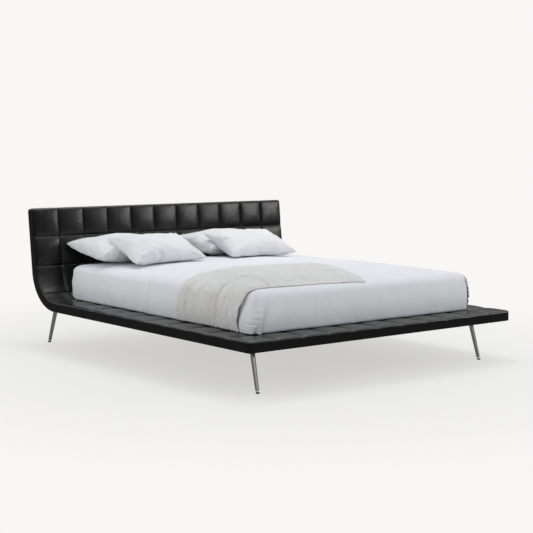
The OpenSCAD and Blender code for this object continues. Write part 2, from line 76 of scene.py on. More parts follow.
def new_finish(name, **sockets):
    """A material with a Principled shader, its plain values set on the shader's own sockets."""
    finish = bpy.data.materials.new(name)
    finish.use_nodes = True
    tree = finish.node_tree
    shader = tree.nodes["Principled BSDF"]
    for socket, value in sockets.items():
        shader.inputs[socket.replace("_", " ").title().replace("Ior", "IOR")].default_value = value
    return finish, tree, shader


def own_place(tree, stretch=(1, 1, 1)):
    """The piece's own coordinates in metres, stretched for a pattern."""
    place = put(tree, "ShaderNodeTexCoord")
    return put(tree, "ShaderNodeMapping", {"Vector": place.outputs["Object"],
        "Scale": stretch}).outputs["Vector"]


def cloudy(tree, scale=1.0, detail=2.0, stretch=(1, 1, 1), **more):
    """Random shades from 0 to 1 over the piece's own place."""
    inputs = {"Vector": own_place(tree, stretch), "Scale": scale, "Detail": detail}
    inputs |= {name.title(): value for name, value in more.items()}
    return put(tree, "ShaderNodeTexNoise", inputs).outputs["Fac"]


def reckon(tree, operation, *values):
    """One step of arithmetic in a tree."""
    return put(tree, "ShaderNodeMath", dict(enumerate(values)), operation=operation).outputs[0]


def shades(tree, value, stops):
    """Colours along a value, from a list of (place, (red, green, blue))."""
    ramp = put(tree, "ShaderNodeValToRGB", {"Fac": value})
    while len(ramp.color_ramp.elements) < len(stops):
        ramp.color_ramp.elements.new(0.5)
    for element, (place, colour) in zip(ramp.color_ramp.elements, stops):
        element.position = place
        element.color = (*colour, 1)
    return ramp.outputs["Color"]


def between(tree, value, low, high):
    """A value from 0 to 1 spread from low to high."""
    return put(tree, "ShaderNodeMapRange", {"Value": value, "To Min": low,
        "To Max": high}).outputs["Result"]


def raise_skin(tree, shader, height, depth, strength=1.0):
    """Small relief on a surface, with its depth in metres."""
    bump = put(tree, "ShaderNodeBump", {"Height": height, "Distance": depth, "Strength": strength})
    tree.links.new(bump.outputs["Normal"], shader.inputs["Normal"])


def drift_at(x, y, z):
    """Smooth random value between about -1 and 1 at a place."""
    return noise.noise(Vector((x, y, z)))


def wood_finish(name, pale, dark, grain, roughness):
    """Planed wood with its grain along the direction where `grain` is small."""
    finish, tree, shader = new_finish(name, roughness=roughness)
    years = cloudy(tree, detail=5.0, stretch=grain, roughness=0.55, distortion=1.2)
    fibre = cloudy(tree, detail=3.0, stretch=[12 * g for g in grain])
    both = reckon(tree, "ADD", years, between(tree, fibre, -0.12, 0.12))
    tint = shades(tree, both, [(0.32, dark), (0.5, [(a + b) / 2 for a, b in zip(pale, dark)]),
        (0.62, pale)])
    tree.links.new(tint, shader.inputs["Base Color"])
    raise_skin(tree, shader, both, 0.0004)
    return finish


def give(nodes, finish):
    """Puts a finish on CAD nodes that are shown as they are."""
    for name in nodes:
        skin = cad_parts[name].data.materials
        skin.clear()
        skin.append(finish)


beech_along = wood_finish("beech_boards", (0.60, 0.43, 0.26), (0.44, 0.29, 0.16), (22, 0.9, 22), 0.6)
beech_across = wood_finish("beech_cross_pieces", (0.58, 0.42, 0.25), (0.43, 0.28, 0.15), (0.9, 22, 22), 0.6)
give(["side_board_left", "side_board_right", "slat_ledge_left", "slat_ledge_right"], beech_along)
give(["foot_board", "head_cross_rail", "corner_dowels"], beech_across)


def metal_finish(name, colour, roughness, cloudiness, metallic=1.0):
    """Metal with a faintly uneven surface."""
    finish, tree, shader = new_finish(name, base_color=(*colour, 1), metallic=metallic)
    cloud = cloudy(tree, 60.0, 4.0)
    tree.links.new(between(tree, cloud, roughness - cloudiness, roughness + cloudiness),
        shader.inputs["Roughness"])
    raise_skin(tree, shader, cloud, 0.00004)
    return finish


zinc = metal_finish("zinc_plated_steel", (0.66, 0.67, 0.69), 0.36, 0.10)
black_steel = metal_finish("black_powder_coat", (0.018, 0.018, 0.019), 0.48, 0.08, 0.0)
give(["corner_brackets", "bracket_screws", "headboard_bolts", "leg_bolts", "leg_inserts", "beam_hangers"],
    zinc)

# ---- Slats, centre beam and caps ----
# Steam-bent birch slats in rubber caps, on ledges at the sides and a square steel tube
# in the middle that hangs from plates at its two ends.
slat_birch = wood_finish("birch_slats", (0.74, 0.56, 0.36), (0.58, 0.40, 0.23), (0.8, 34, 34), 0.42)
give(["slats_left", "slats_right"], slat_birch)
give(["centre_beam", "leg_plates"], black_steel)
cap_rubber, rubber_tree, rubber = new_finish("cap_rubber", roughness=0.75,
    base_color=(0.02, 0.02, 0.021, 1))
raise_skin(rubber_tree, rubber, cloudy(rubber_tree, 350.0, 3.0), 0.0002)
give(["side_slat_caps", "centre_slat_caps"], cap_rubber)

# ---- Headboard ribs, rail and plywood skins ----
# Ribs are cut to the side profile from thick plywood; thin bending plywood is glued
# over both faces to make one curved box.
plywood = wood_finish("bending_plywood", (0.60, 0.45, 0.28), (0.46, 0.32, 0.18), (24, 24, 0.9), 0.62)
give(["headboard_rib_left", "headboard_rib_right", "headboard_inner_ribs", "headboard_top_rail",
    "headboard_front_skin", "headboard_back_skin", "rear_leg_blocks"], plywood)

# ---- Legs and levelling glides ----
# Tapered tubes of polished steel, welded to plates, each with a threaded insert and a
# black plastic glide on a ball stud.
polished, polished_tree, shine = new_finish("polished_steel", base_color=(0.80, 0.80, 0.81, 1),
    metallic=1.0)
smear = cloudy(polished_tree, detail=5.0, stretch=(40, 40, 6))
polished_tree.links.new(between(polished_tree, smear, 0.05, 0.16), shine.inputs["Roughness"])
corners = ["foot_left", "foot_right", "head_left", "head_right"]
give([f"leg_{corner}" for corner in corners], polished)
give([f"stud_{corner}" for corner in corners], zinc)
glide_plastic, glide_tree, glide_skin = new_finish("glide_plastic", base_color=(0.016, 0.016, 0.017, 1))
glide_tree.links.new(between(glide_tree, cloudy(glide_tree, 500.0), 0.38, 0.62),
    glide_skin.inputs["Roughness"])
give([f"glide_{corner}" for corner in corners], glide_plastic)


# ---- Quilted leather covers ----
# Black semi-gloss cowhide over foam, sewn through in 200 mm squares: a cover for each side of
# the platform, one for its foot and one that sweeps up the headboard, turned under and stapled.
half_width = cad_high.x
platform_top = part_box("side_cover_left")[1].z
foot_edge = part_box("foot_cover")[0].y
panel_depth = platform_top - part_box("side_cover_left")[0].z
square = 0.2
seam_column = half_width - square
flat_length = 2.056
bend_radius = 0.215
lean = math.radians(7.2)
bend_angle = math.pi / 2 - lean
headboard_rise = cad_high.z - platform_top
straight_length = (headboard_rise - bend_radius * (1 - math.sin(lean))) / math.cos(lean)
path_length = flat_length + bend_radius * bend_angle + straight_length
edge_run, edge_drop = 0.020, 0.013
hide_thickness = 0.002


def on_the_bed(flat):
    """Moves (across, along the cover, above it) to the bed: flat, round the bend, up the headboard."""
    flat = np.asarray(flat, float)
    across, along, above = flat[:, 0], flat[:, 1], flat[:, 2]
    angle = np.clip((along - flat_length) / bend_radius, 0, bend_angle)
    before = np.minimum(along, flat_length)
    after = np.maximum(along - flat_length - bend_radius * bend_angle, 0)
    y = before + (bend_radius - above) * np.sin(angle) + after * np.cos(angle)
    z = bend_radius - (bend_radius - above) * np.cos(angle) + after * np.sin(angle)
    return np.column_stack([across, foot_edge + y, platform_top + z])


def turned_on_the_bed(along, direction):
    """Turns directions at places along the cover the way the bend turns the cover."""
    angle = np.clip((np.asarray(along) - flat_length) / bend_radius, 0, bend_angle)
    y = direction[:, 1] * np.cos(angle) - direction[:, 2] * np.sin(angle)
    z = direction[:, 1] * np.sin(angle) + direction[:, 2] * np.cos(angle)
    return np.column_stack([direction[:, 0], y, z])


def wrapped_panel(across, along, turned, rows, corner_steps=6, squareness=2.0):
    """A flat grid whose turned sides carry on round the edge: each row is (outwards, downwards, tilt).
    Gives the points, the directions the skin faces, the faces and the row of each point."""
    columns, lines = len(across), len(along)
    index = lambda i, j: j * columns + i
    sides = [("foot", [index(i, 0) for i in range(columns)], -90),
        ("right", [index(columns - 1, j) for j in range(lines)], 0),
        ("head", [index(i, lines - 1) for i in reversed(range(columns))], 90),
        ("left", [index(0, j) for j in reversed(range(lines))], 180)]
    points = [(x, t, 0.0) for t in along for x in across]
    facing = [(0.0, 0.0, 1.0)] * len(points)
    row_of = [0] * len(points)
    faces = [(index(i, j), index(i + 1, j), index(i + 1, j + 1), index(i, j + 1))
        for j in range(lines - 1) for i in range(columns - 1)]
    closed = len(turned) == 4
    first = 0 if closed else next(k for k in range(4) if sides[k][0] in turned
        and sides[k - 1][0] not in turned)
    walk = []
    for k in range(len(turned)):
        _, members, heading = sides[(first + k) % 4]
        if walk:
            walk += [(members[0], heading - 90 + 90 * s / corner_steps) for s in range(1, corner_steps)]
        walk += [(m, heading) for m in members]
    if closed:
        walk += [(walk[0][0], -180 + 90 * s / corner_steps) for s in range(1, corner_steps)]
    before = [m for m, _ in walk]
    for number, (outwards, downwards, tilt) in enumerate(rows, 1):
        start = len(points)
        for m, heading in walk:
            cx, ct = math.cos(math.radians(heading)), math.sin(math.radians(heading))
            x, t, _ = points[m]
            wider = (abs(cx) ** squareness + abs(ct) ** squareness) ** (-1 / squareness)
            points.append((x + outwards * wider * cx, t + outwards * wider * ct, -downwards))
            facing.append((cx * math.sin(tilt), ct * math.sin(tilt), math.cos(tilt)))
        row_of += [number] * len(walk)
        here = list(range(start, len(points)))
        for a in range(len(walk) - (0 if closed else 1)):
            b = (a + 1) % len(walk)
            ring = (before[a], here[a], here[b], before[b])
            faces.append(ring if before[a] != before[b] else ring[:3])
        before = here
    return np.array(points), np.array(facing), faces, np.array(row_of)


def new_piece(name, points, faces):
    """A mesh object at the origin, with its place in its mesh."""
    mesh = bpy.data.meshes.new(name)
    mesh.from_pydata([tuple(p) for p in np.asarray(points, float).tolist()], [], faces)
    mesh.update()
    mesh.shade_smooth()
    piece = bpy.data.objects.new(name, mesh)
    bpy.context.scene.collection.objects.link(piece)
    return piece


def keep_value(piece, name, values, kind="FLOAT"):
    """Stores a value or direction on each point of a mesh, for Geometry Nodes and materials."""
    layer = piece.data.attributes.new(name, kind, "POINT")
    layer.data.foreach_set("value" if kind == "FLOAT" else "vector", np.asarray(values, np.float32).ravel())


def thickened(piece, kind, thickness, offset):
    """Gives a single layer the thickness of its material."""
    wall = piece.modifiers.new(kind, "SOLIDIFY")
    wall.thickness, wall.offset = thickness, offset


def applied(piece, finish=None):
    """The piece with its modifiers turned into plain mesh."""
    bpy.context.view_layer.update()
    done = bpy.data.meshes.new_from_object(piece.evaluated_get(bpy.context.evaluated_depsgraph_get()))
    old = piece.data
    piece.modifiers.clear()
    piece.data = done
    bpy.data.meshes.remove(old)
    if finish:
        done.materials.clear()
        done.materials.append(finish)
    return piece


def new_rule(name, inputs):
    """An empty Geometry Nodes tree with named inputs; gives the tree, its input node and its output node."""
    tree = bpy.data.node_groups.new(name, "GeometryNodeTree")
    tree.interface.new_socket("Geometry", in_out="INPUT", socket_type="NodeSocketGeometry")
    for label, value in inputs.items():
        kind = {bool: "Bool", int: "Int", float: "Float"}.get(type(value), "Material")
        made = tree.interface.new_socket(label, in_out="INPUT", socket_type=f"NodeSocket{kind}")
        if kind != "Material":
            made.default_value = value
    tree.interface.new_socket("Geometry", in_out="OUTPUT", socket_type="NodeSocketGeometry")
    return tree, put(tree, "NodeGroupInput").outputs, put(tree, "NodeGroupOutput").inputs["Geometry"]


def follow_rule(piece, tree, **values):
    """Puts the tree on a piece, with its inputs set by their identifiers."""
    modifier = piece.modifiers.new(tree.name, "NODES")
    modifier.node_group = tree
    for item in tree.interface.items_tree:
        key = item.name.lower().replace(" ", "_")
        if item.in_out == "INPUT" and key in values:
            modifier[item.identifier] = values[key]


def finish_rule(tree, geometry, material, out):
    """Every rule ends with real geometry and its material."""
    real = put(tree, "GeometryNodeRealizeInstances", {"Geometry": geometry})
    coated = put(tree, "GeometryNodeSetMaterial", {"Geometry": real.outputs[0], "Material": material})
    tree.links.new(coated.outputs[0], out)


quilting, ask, out = new_rule("quilted_squares", {"Square": square, "Rise": 0.006, "Sink": 0.010,
    "Fullness": 0.27, "Pinch": 0.003, "Gather": 0.0016, "Last column": seam_column, "Last row": 2.6,
    "Joint": 0.0035, "Seed": 3.0, "Leather": None})
named = lambda tree, name, kind="FLOAT": put(tree, "GeometryNodeInputNamedAttribute", {"Name": name},
    data_type=kind).outputs["Attribute"]
quilt = lambda *step: reckon(quilting, *step)
wide, long = named(quilting, "across"), named(quilting, "along")
half = quilt("MULTIPLY", ask["Square"], 0.5)
beyond = quilt("SUBTRACT", quilt("ABSOLUTE", wide), ask["Last column"])
to_column = quilt("MAXIMUM", quilt("PINGPONG", quilt("ADD", wide, half), half), beyond)
to_row = quilt("MAXIMUM", quilt("PINGPONG", long, half), quilt("MAXIMUM",
    quilt("SUBTRACT", ask["Square"], long), quilt("SUBTRACT", long, ask["Last row"])))


def swelling(distance):
    """From 0 on a seam to 1 at the middle of a square."""
    share = quilt("MINIMUM", quilt("DIVIDE", distance, half), 1.0)
    return quilt("SINE", quilt("MULTIPLY", share, math.pi / 2))


dome = quilt("POWER", quilt("MAXIMUM", quilt("MULTIPLY", swelling(to_column), swelling(to_row)), 0.0),
    ask["Fullness"])
height = quilt("SUBTRACT", quilt("MULTIPLY", dome, quilt("ADD", ask["Rise"], ask["Sink"])), ask["Sink"])
apart = quilt("ADD", quilt("POWER", to_column, 2.0), quilt("POWER", to_row, 2.0))
knot = quilt("EXPONENT", quilt("MULTIPLY", apart, -1 / 0.012 ** 2))
height = quilt("SUBTRACT", height, quilt("MULTIPLY", knot, ask["Pinch"]))
nearest = quilt("MINIMUM", to_column, to_row)
by_seam = quilt("EXPONENT", quilt("MULTIPLY", nearest, -1 / 0.022))
folds = put(quilting, "ShaderNodeTexNoise", {"Vector": put(quilting,
    "GeometryNodeInputPosition").outputs[0], "W": ask["Seed"], "Scale": 42.0, "Detail": 2.0},
    noise_dimensions="4D")
slack = put(quilting, "ShaderNodeTexNoise", {"Vector": put(quilting,
    "GeometryNodeInputPosition").outputs[0], "W": ask["Seed"], "Scale": 7.0, "Detail": 2.0},
    noise_dimensions="4D")
gathers = quilt("MULTIPLY", quilt("SUBTRACT", folds.outputs["Fac"], 0.5),
    quilt("MULTIPLY", by_seam, quilt("MULTIPLY", ask["Gather"], 2.0)))
uneven = quilt("MULTIPLY", quilt("SUBTRACT", slack.outputs["Fac"], 0.5), 0.004)
height = quilt("ADD", height, quilt("ADD", gathers, uneven))
band_joint = quilt("MULTIPLY", named(quilting, "joint"), ask["Joint"])
move = quilt("SUBTRACT", quilt("MULTIPLY", height, named(quilting, "loose")), band_joint)
shift = put(quilting, "ShaderNodeVectorMath", {0: named(quilting, "facing", "FLOAT_VECTOR"), 3: move},
    operation="SCALE")
quilted = put(quilting, "GeometryNodeSetPosition", {"Geometry": ask["Geometry"],
    "Offset": shift.outputs[0]})
finish_rule(quilting, quilted.outputs[0], ask["Leather"], out)

hide, hide_tree, hide_skin = new_finish("black_leather", base_color=(0.003, 0.003, 0.0031, 1),
    specular_ior_level=0.4)
grain = put(hide_tree, "ShaderNodeTexVoronoi", {"Vector": own_place(hide_tree), "Scale": 520.0,
    "Randomness": 1.0}, feature="DISTANCE_TO_EDGE")
creases = cloudy(hide_tree, 26.0, 6.0, roughness=0.6, distortion=0.8)
hide_tree.links.new(between(hide_tree, cloudy(hide_tree, 5.0, 4.0), 0.20, 0.36),
    hide_skin.inputs["Roughness"])
hide_tree.links.new(shades(hide_tree, creases, [(0.35, (0.0020, 0.0020, 0.0020)),
    (0.65, (0.0042, 0.0041, 0.0040))]), hide_skin.inputs["Base Color"])
pebbles = put(hide_tree, "ShaderNodeBump", {"Height": grain.outputs["Distance"], "Distance": 0.0003,
    "Strength": 0.35})
soft_creases = put(hide_tree, "ShaderNodeBump", {"Height": creases, "Distance": 0.0016, "Strength": 0.5,
    "Normal": pebbles.outputs["Normal"]})
hide_tree.links.new(soft_creases.outputs["Normal"], hide_skin.inputs["Normal"])


def seam_places(start, end, seams):
    """Places from start to end, close together near each seam and wider in the squares."""
    steps = [0.0, 0.0012, 0.003, 0.0055, 0.009, 0.014, 0.021, 0.030, 0.042, 0.056, 0.070, 0.085, 0.1]
    found = {round(start, 5), round(end, 5)}
    for s in seams:
        found |= {round(s + side * d, 5) for d in steps for side in (-1, 1)}
    inside = sorted(p for p in found if start - 1e-5 <= p <= end + 1e-5)
    spaced = [inside[0]]
    for p in inside[1:]:
        if p - spaced[-1] > 0.02:
            middle = (p + spaced[-1]) / 2
            spaced.append(middle)
        if p - spaced[-1] > 0.0008 or p == inside[-1]:
            spaced.append(p)
    return spaced


edge_rows = [(edge_run * math.sin(a), edge_drop * (1 - math.cos(a)), a)
    for a in np.linspace(0, math.pi / 2, 9)[1:]]
edge_rows += [(edge_run, d, math.pi / 2) for d in np.linspace(edge_drop, panel_depth - 0.006, 7)[1:]]
edge_rows += [(edge_run - 0.006 * (1 - math.cos(a)), panel_depth - 0.006 * (1 - math.sin(a)),
    math.pi / 2 + a) for a in np.linspace(0, math.pi / 2, 4)[1:]]
edge_rows += [(edge_run - d, panel_depth, math.pi) for d in (0.02, 0.04, 0.06)]
soft_rows = 8
column_seams = [seam_column - square * k for k in range(10)]
row_seams = [square * k for k in range(1, 14)]
head_joint = 2.0


def quilted_cover(name, left, right, start, end, turned, replaced):
    """One cover between two columns and two rows, with its outer sides turned round the edge."""
    x0, x1 = left + edge_run * ("left" in turned), right - edge_run * ("right" in turned)
    t0, t1 = start + edge_run * ("foot" in turned), end - edge_run * ("head" in turned)
    points, facing, faces, row = wrapped_panel(seam_places(x0, x1, column_seams),
        seam_places(t0, t1, row_seams), turned, edge_rows)
    piece = new_piece(name, on_the_bed(points), faces)
    keep_value(piece, "across", points[:, 0])
    keep_value(piece, "along", points[:, 1])
    keep_value(piece, "facing", turned_on_the_bed(points[:, 1], facing), "FLOAT_VECTOR")
    rim = np.minimum(half_width - edge_run - np.abs(points[:, 0]),
        np.minimum(points[:, 1], path_length - points[:, 1]) - edge_run)
    firm = 0.72 + 0.28 * np.clip(rim / 0.05, 0, 1)
    keep_value(piece, "loose", np.clip(1 - row / soft_rows, 0, 1) ** 0.9 * firm)
    near_joint = np.zeros(len(points))
    for place, where in ((points[:, 0], (-seam_column, seam_column)),
            (points[:, 1], (head_joint - square, head_joint))):
        for w in where:
            near_joint = np.maximum(near_joint, np.exp(-((place - w) / 0.004) ** 2))
    keep_value(piece, "joint", near_joint * (row > 2))
    follow_rule(piece, quilting, leather=hide)
    thickened(piece, "leather_thickness", hide_thickness, -1)
    applied(piece, hide)
    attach(piece, "frame")
    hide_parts(*replaced)
    return piece


covers = [quilted_cover("leather_cover_left", -half_width, -seam_column, 0, head_joint, {"left", "foot"},
    ["side_cover_left", "side_foam_left"]), quilted_cover("leather_cover_right", seam_column, half_width,
    0, head_joint, {"right", "foot"}, ["side_cover_right", "side_foam_right"]),
    quilted_cover("leather_cover_foot", -seam_column, seam_column, 0, square, {"foot"},
    ["foot_cover", "foot_foam"]), quilted_cover("leather_cover_headboard", -half_width, half_width,
    head_joint, path_length, {"left", "head", "right"}, ["headboard_front_cover", "headboard_foam"])]

# ---- Topstitching and staples ----
# The band's joints are topstitched on both sides in waxed black thread, and the turned-under
# leather is stapled to the boards all round the bottom.
stitching, ask, out = new_rule("even_stitches", {"Pitch": 0.0065, "Thread": 0.0008, "Stitch": 0.0024,
    "Thread finish": None})
path = put(stitching, "GeometryNodeMeshToCurve", {"Mesh": ask["Geometry"]})
even = put(stitching, "GeometryNodeResampleCurve", {"Curve": path.outputs[0], "Length": ask["Pitch"]},
    mode="LENGTH")
heading_on = put(stitching, "FunctionNodeAlignRotationToVector",
    {"Vector": put(stitching, "GeometryNodeInputTangent").outputs[0]}, axis="Z")
bead = put(stitching, "GeometryNodeMeshUVSphere", {"Segments": 6, "Rings": 5, "Radius": 1.0})
shape = put(stitching, "ShaderNodeCombineXYZ", {"X": ask["Thread"], "Y": ask["Thread"], "Z": ask["Stitch"]})
sewn = put(stitching, "GeometryNodeInstanceOnPoints", {"Points": even.outputs[0],
    "Instance": bead.outputs["Mesh"], "Rotation": heading_on.outputs[0], "Scale": shape.outputs[0]})
finish_rule(stitching, sewn.outputs[0], ask["Thread finish"], out)
leather_skins = [BVHTree.FromPolygons([v.co for v in c.data.vertices],
    [f.vertices for f in c.data.polygons]) for c in covers]


def on_leather(start, inwards):
    """Where a point moving inwards first meets the leather."""
    hits = [(hit[3], hit[0]) for hit in (skin.ray_cast(start, inwards, 0.2) for skin in leather_skins)
        if hit[0]]
    return min(hits)[1] - inwards * 0.0002 if hits else None


def stitched_lines(name, lines, finish, slot, **sizes):
    points, edges = [], []
    for line in lines:
        first = len(points)
        points += [tuple(p) for p in line]
        edges += [(k, k + 1) for k in range(first, len(points) - 1)]
    mesh = bpy.data.meshes.new(name)
    mesh.from_pydata(points, edges, [])
    piece = bpy.data.objects.new(name, mesh)
    bpy.context.scene.collection.objects.link(piece)
    follow_rule(piece, stitching, thread_finish=finish, **sizes)
    applied(piece, finish)
    piece.data.shade_smooth()
    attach(piece, "frame")


band_lines = []
from_joint = 0.0065
band_levels = np.linspace(0.014, panel_depth - 0.008, 12)
for beside in (-from_joint, from_joint):
    for x in (-seam_column, seam_column):
        line = [on_leather(Vector((x + beside, foot_edge - 0.1, platform_top - d)), Vector((0, 1, 0)))
            for d in band_levels]
        band_lines.append([p for p in line if p])
    for side in (-1, 1):
        for t in (head_joint - square, head_joint):
            line = [on_leather(Vector((side * (half_width + 0.1), foot_edge + t + beside,
                platform_top - d)), Vector((-side, 0, 0))) for d in band_levels]
            band_lines.append([p for p in line if p])
thread, thread_tree, thread_skin = new_finish("waxed_thread", roughness=0.5,
    base_color=(0.010, 0.010, 0.010, 1))
twist = put(thread_tree, "ShaderNodeTexWave", {"Vector": own_place(thread_tree), "Scale": 600.0})
thread_tree.links.new(shades(thread_tree, twist.outputs["Fac"],
    [(0.2, (0.006, 0.006, 0.006)), (0.8, (0.018, 0.018, 0.018))]), thread_skin.inputs["Base Color"])
stitched_lines("band_topstitching", band_lines, thread, "black_leather")

staple_inset = 0.048
under_z = platform_top - panel_depth - 0.0004
staple_lines = [[(x, foot_edge + staple_inset, under_z) for x in np.linspace(-half_width + 0.09,
    half_width - 0.09, 80)]]
staple_lines += [[(side * (half_width - staple_inset), foot_edge + t, under_z)
    for t in np.linspace(0.09, 1.96, 80)] for side in (-1, 1)]
staple_wire = metal_finish("staple_wire", (0.55, 0.55, 0.56), 0.35, 0.2, 1.0)
stitched_lines("leather_staples", staple_lines, staple_wire, "zinc_steel", pitch=0.028, thread=0.0007,
    stitch=0.0050)

# ---- Inner edge, back and underside ----
# A strip of leather is turned down over the boards' inner edge under the mattress, a plain hide
# is stretched over the headboard's back, and black dust cloth is stapled below.
inner_edge = seam_column - 0.03
inner_start, inner_end = square + 0.03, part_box("side_board_left")[1].y - foot_edge
fold_rows = [(0.034, -0.010), (0.012, -0.004), (0.003, -0.0035), (0.0, -0.006), (-0.001, -0.012),
    (-0.001, -0.042)]


def inner_strip():
    """The turned-down strip as one ring round the opening for the mattress."""
    points, faces = [], []
    stations = [(x, inner_start, 0, -1) for x in np.linspace(-inner_edge, inner_edge, 60)]
    stations += [(inner_edge, t, 1, 0) for t in np.linspace(inner_start, inner_end, 60)]
    stations += [(x, inner_end, 0, 1) for x in np.linspace(inner_edge, -inner_edge, 60)]
    stations += [(-inner_edge, t, -1, 0) for t in np.linspace(inner_end, inner_start, 60)]
    for number, (x, t, ox, ot) in enumerate(stations):
        corner = number % 60 in (0, 59)
        for reach, drop in fold_rows:
            wave = 0.0008 * drift_at(x * 30, t * 30, reach * 40)
            sx = math.copysign(reach, x) if corner else reach * ox
            st = math.copysign(reach, t - 1.0) if corner else reach * ot
            points.append((x + sx, t + st, drop + wave))
    wide_row = len(fold_rows)
    for a in range(len(stations)):
        b = (a + 1) % len(stations)
        faces += [(a * wide_row + k, b * wide_row + k, b * wide_row + k + 1, a * wide_row + k + 1)
            for k in range(wide_row - 1)]
    strip = new_piece("leather_inner_edge", on_the_bed(points), faces)
    thickened(strip, "leather_thickness", hide_thickness, 0)
    return applied(strip, hide)


strip = inner_strip()
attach(strip, "frame")

back_inset = 0.016
back_rows = [(0.002, 0.0003, 0.4), (0.0035, 0.0014, 1.0), (0.004, 0.003, 1.5)]
points, _, faces, _ = wrapped_panel(list(np.linspace(-half_width + back_inset, half_width - back_inset,
    111)), list(np.linspace(inner_end + 0.03, path_length - back_inset, 46)),
    ["foot", "right", "head", "left"], back_rows, 4)
slack_hide = np.array([noise.fractal(Vector((p[0] * 5, p[1] * 5, 3.1)), 1.0, 2.0, 3) for p in points])
rim = np.minimum(half_width - back_inset - np.abs(points[:, 0]),
    np.minimum(points[:, 1] - inner_end - 0.03, path_length - back_inset - points[:, 1]))
points[:, 2] = -panel_depth - 0.0025 - points[:, 2] - (0.003 * (1 + slack_hide)
    * np.clip(rim / 0.06, 0, 1) ** 0.6) + 0.0035 * np.exp(-((np.abs(points[:, 0]) - 0.5) / 0.0035) ** 2)
faces = [tuple(reversed(f)) for f in faces]
hide_back = new_piece("leather_back", on_the_bed(points), faces)
hide_back.data.materials.append(hide)
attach(hide_back, "frame")
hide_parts("headboard_back_cover")

dust_cloth, dust_tree, dust = new_finish("dust_cloth", roughness=0.95, base_color=(0.02, 0.02, 0.021, 1))
felt = cloudy(dust_tree, 700.0, 3.0)
web = put(dust_tree, "ShaderNodeTexVoronoi", {"Vector": own_place(dust_tree), "Scale": 240.0})
dust_tree.links.new(shades(dust_tree, felt, [(0.3, (0.012, 0.012, 0.013)), (0.7, (0.034, 0.034, 0.035))]),
    dust.inputs["Base Color"])
raise_skin(dust_tree, dust, web.outputs["Distance"], 0.0004)
lining_low, lining_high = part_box("underside_lining")
bay_start, bay_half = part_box("foot_board")[1].y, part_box("foot_board")[1].x
beam_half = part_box("centre_beam")[1].x
lining_across = np.linspace(lining_low.x, lining_high.x, 105)
lining_along = np.linspace(foot_edge + half_width - lining_high.x, lining_high.y, 95)
points, faces = [], []
for j, y in enumerate(lining_along):
    for i, x in enumerate(lining_across):
        bay = min(1, max(0, (abs(x) - beam_half) / (bay_half - beam_half)))
        down = min(1, max(0, (y - bay_start) / (lining_high.y - bay_start)))
        sag = 0.006 * math.sin(math.pi * bay) * math.sin(math.pi * down) ** 0.6
        pucker = 0.0005 * drift_at(x * 14, y * 14, 5.0) * (1 + 6 * (sag > 0.001))
        points.append((x, y, lining_high.z - 0.0008 - sag - abs(pucker)))
        if i and j:
            k = j * len(lining_across) + i
            faces.append((k - 1 - len(lining_across), k - 1, k, k - len(lining_across)))
lining = new_piece("dust_cloth_sheet", points, faces)
lining.data.materials.append(dust_cloth)
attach(lining, "frame")
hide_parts("underside_lining")

# ---- Mattress ----
# A pocket-sprung mattress in quilted white ticking with a corded edge top and bottom; its lower
# head edge is pressed round by the bend in the base.
bed_low, bed_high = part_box("mattress")
half_bed = bed_high.x
edge_height = 0.232
side_run, side_drop = 0.075, 0.050


def crown(x, y):
    """How far the filling rises above the edge of the mattress's top."""
    u = np.clip(np.abs(x) / (half_bed - side_run), 0, 1)
    v = np.clip(np.abs(y - (bed_low.y + bed_high.y) / 2) / ((bed_high.y - bed_low.y) / 2 - side_run), 0, 1)
    return 0.032 * (1 - u ** 2.4) * (1 - v ** 5)


def rounded_side(outset, bottom, under):
    """Rows over a rounded top edge, down an upright side and a little way under."""
    rows = [(side_run * math.sin(a) + outset, side_drop * (1 - math.cos(a)), a)
        for a in np.linspace(0, math.pi / 2, 11)[1:]]
    fall = edge_height + outset - bottom
    rows += [(side_run + outset + 0.005 * math.sin(math.pi * k / 14),
        side_drop + (fall - side_drop) * k / 14, math.pi / 2) for k in range(1, 15)]
    return rows + [(side_run + outset - u, fall + min(0.003, u), math.pi) for u in under]


def clear_of_headboard(points, gap):
    """Keeps points off the bend behind the mattress."""
    z = np.clip(points[:, 2] - platform_top, 0, bend_radius)
    wall_y = foot_edge + flat_length + np.sqrt(bend_radius ** 2 - (bend_radius - z) ** 2)
    points[:, 1] = np.minimum(points[:, 1], wall_y - gap)


def spaced(start, end, step):
    return list(np.linspace(start, end, max(2, round((end - start) / step) + 1)))


def over_the_bed(outset, bottom, under, start, end, turned, step, corner_steps=10, hem=()):
    """A layer that lies over the mattress and hangs down its turned sides."""
    x0, x1 = -half_bed + side_run, half_bed - side_run
    y0 = start + side_run * ("foot" in turned)
    y1 = end - side_run * ("head" in turned)
    points, facing, faces, row = wrapped_panel(spaced(x0, x1, step),
        sorted(set(spaced(y0, y1, step)) | {y1 - d for d in hem}), turned,
        rounded_side(outset, bottom, under), corner_steps, 4.5)
    points[:, 2] += platform_top + edge_height + outset + crown(points[:, 0], points[:, 1]) * (row == 0)
    return points, facing, faces, row


def ripple(points, stretch, layers=3, shift=0.0):
    """Soft random relief between about -1 and 1, stretched along each axis."""
    return np.array([noise.fractal(Vector((p[0] * stretch[0] + shift, p[1] * stretch[1] - shift,
        p[2] * stretch[2])), 0.9, 2.1, layers) for p in points])


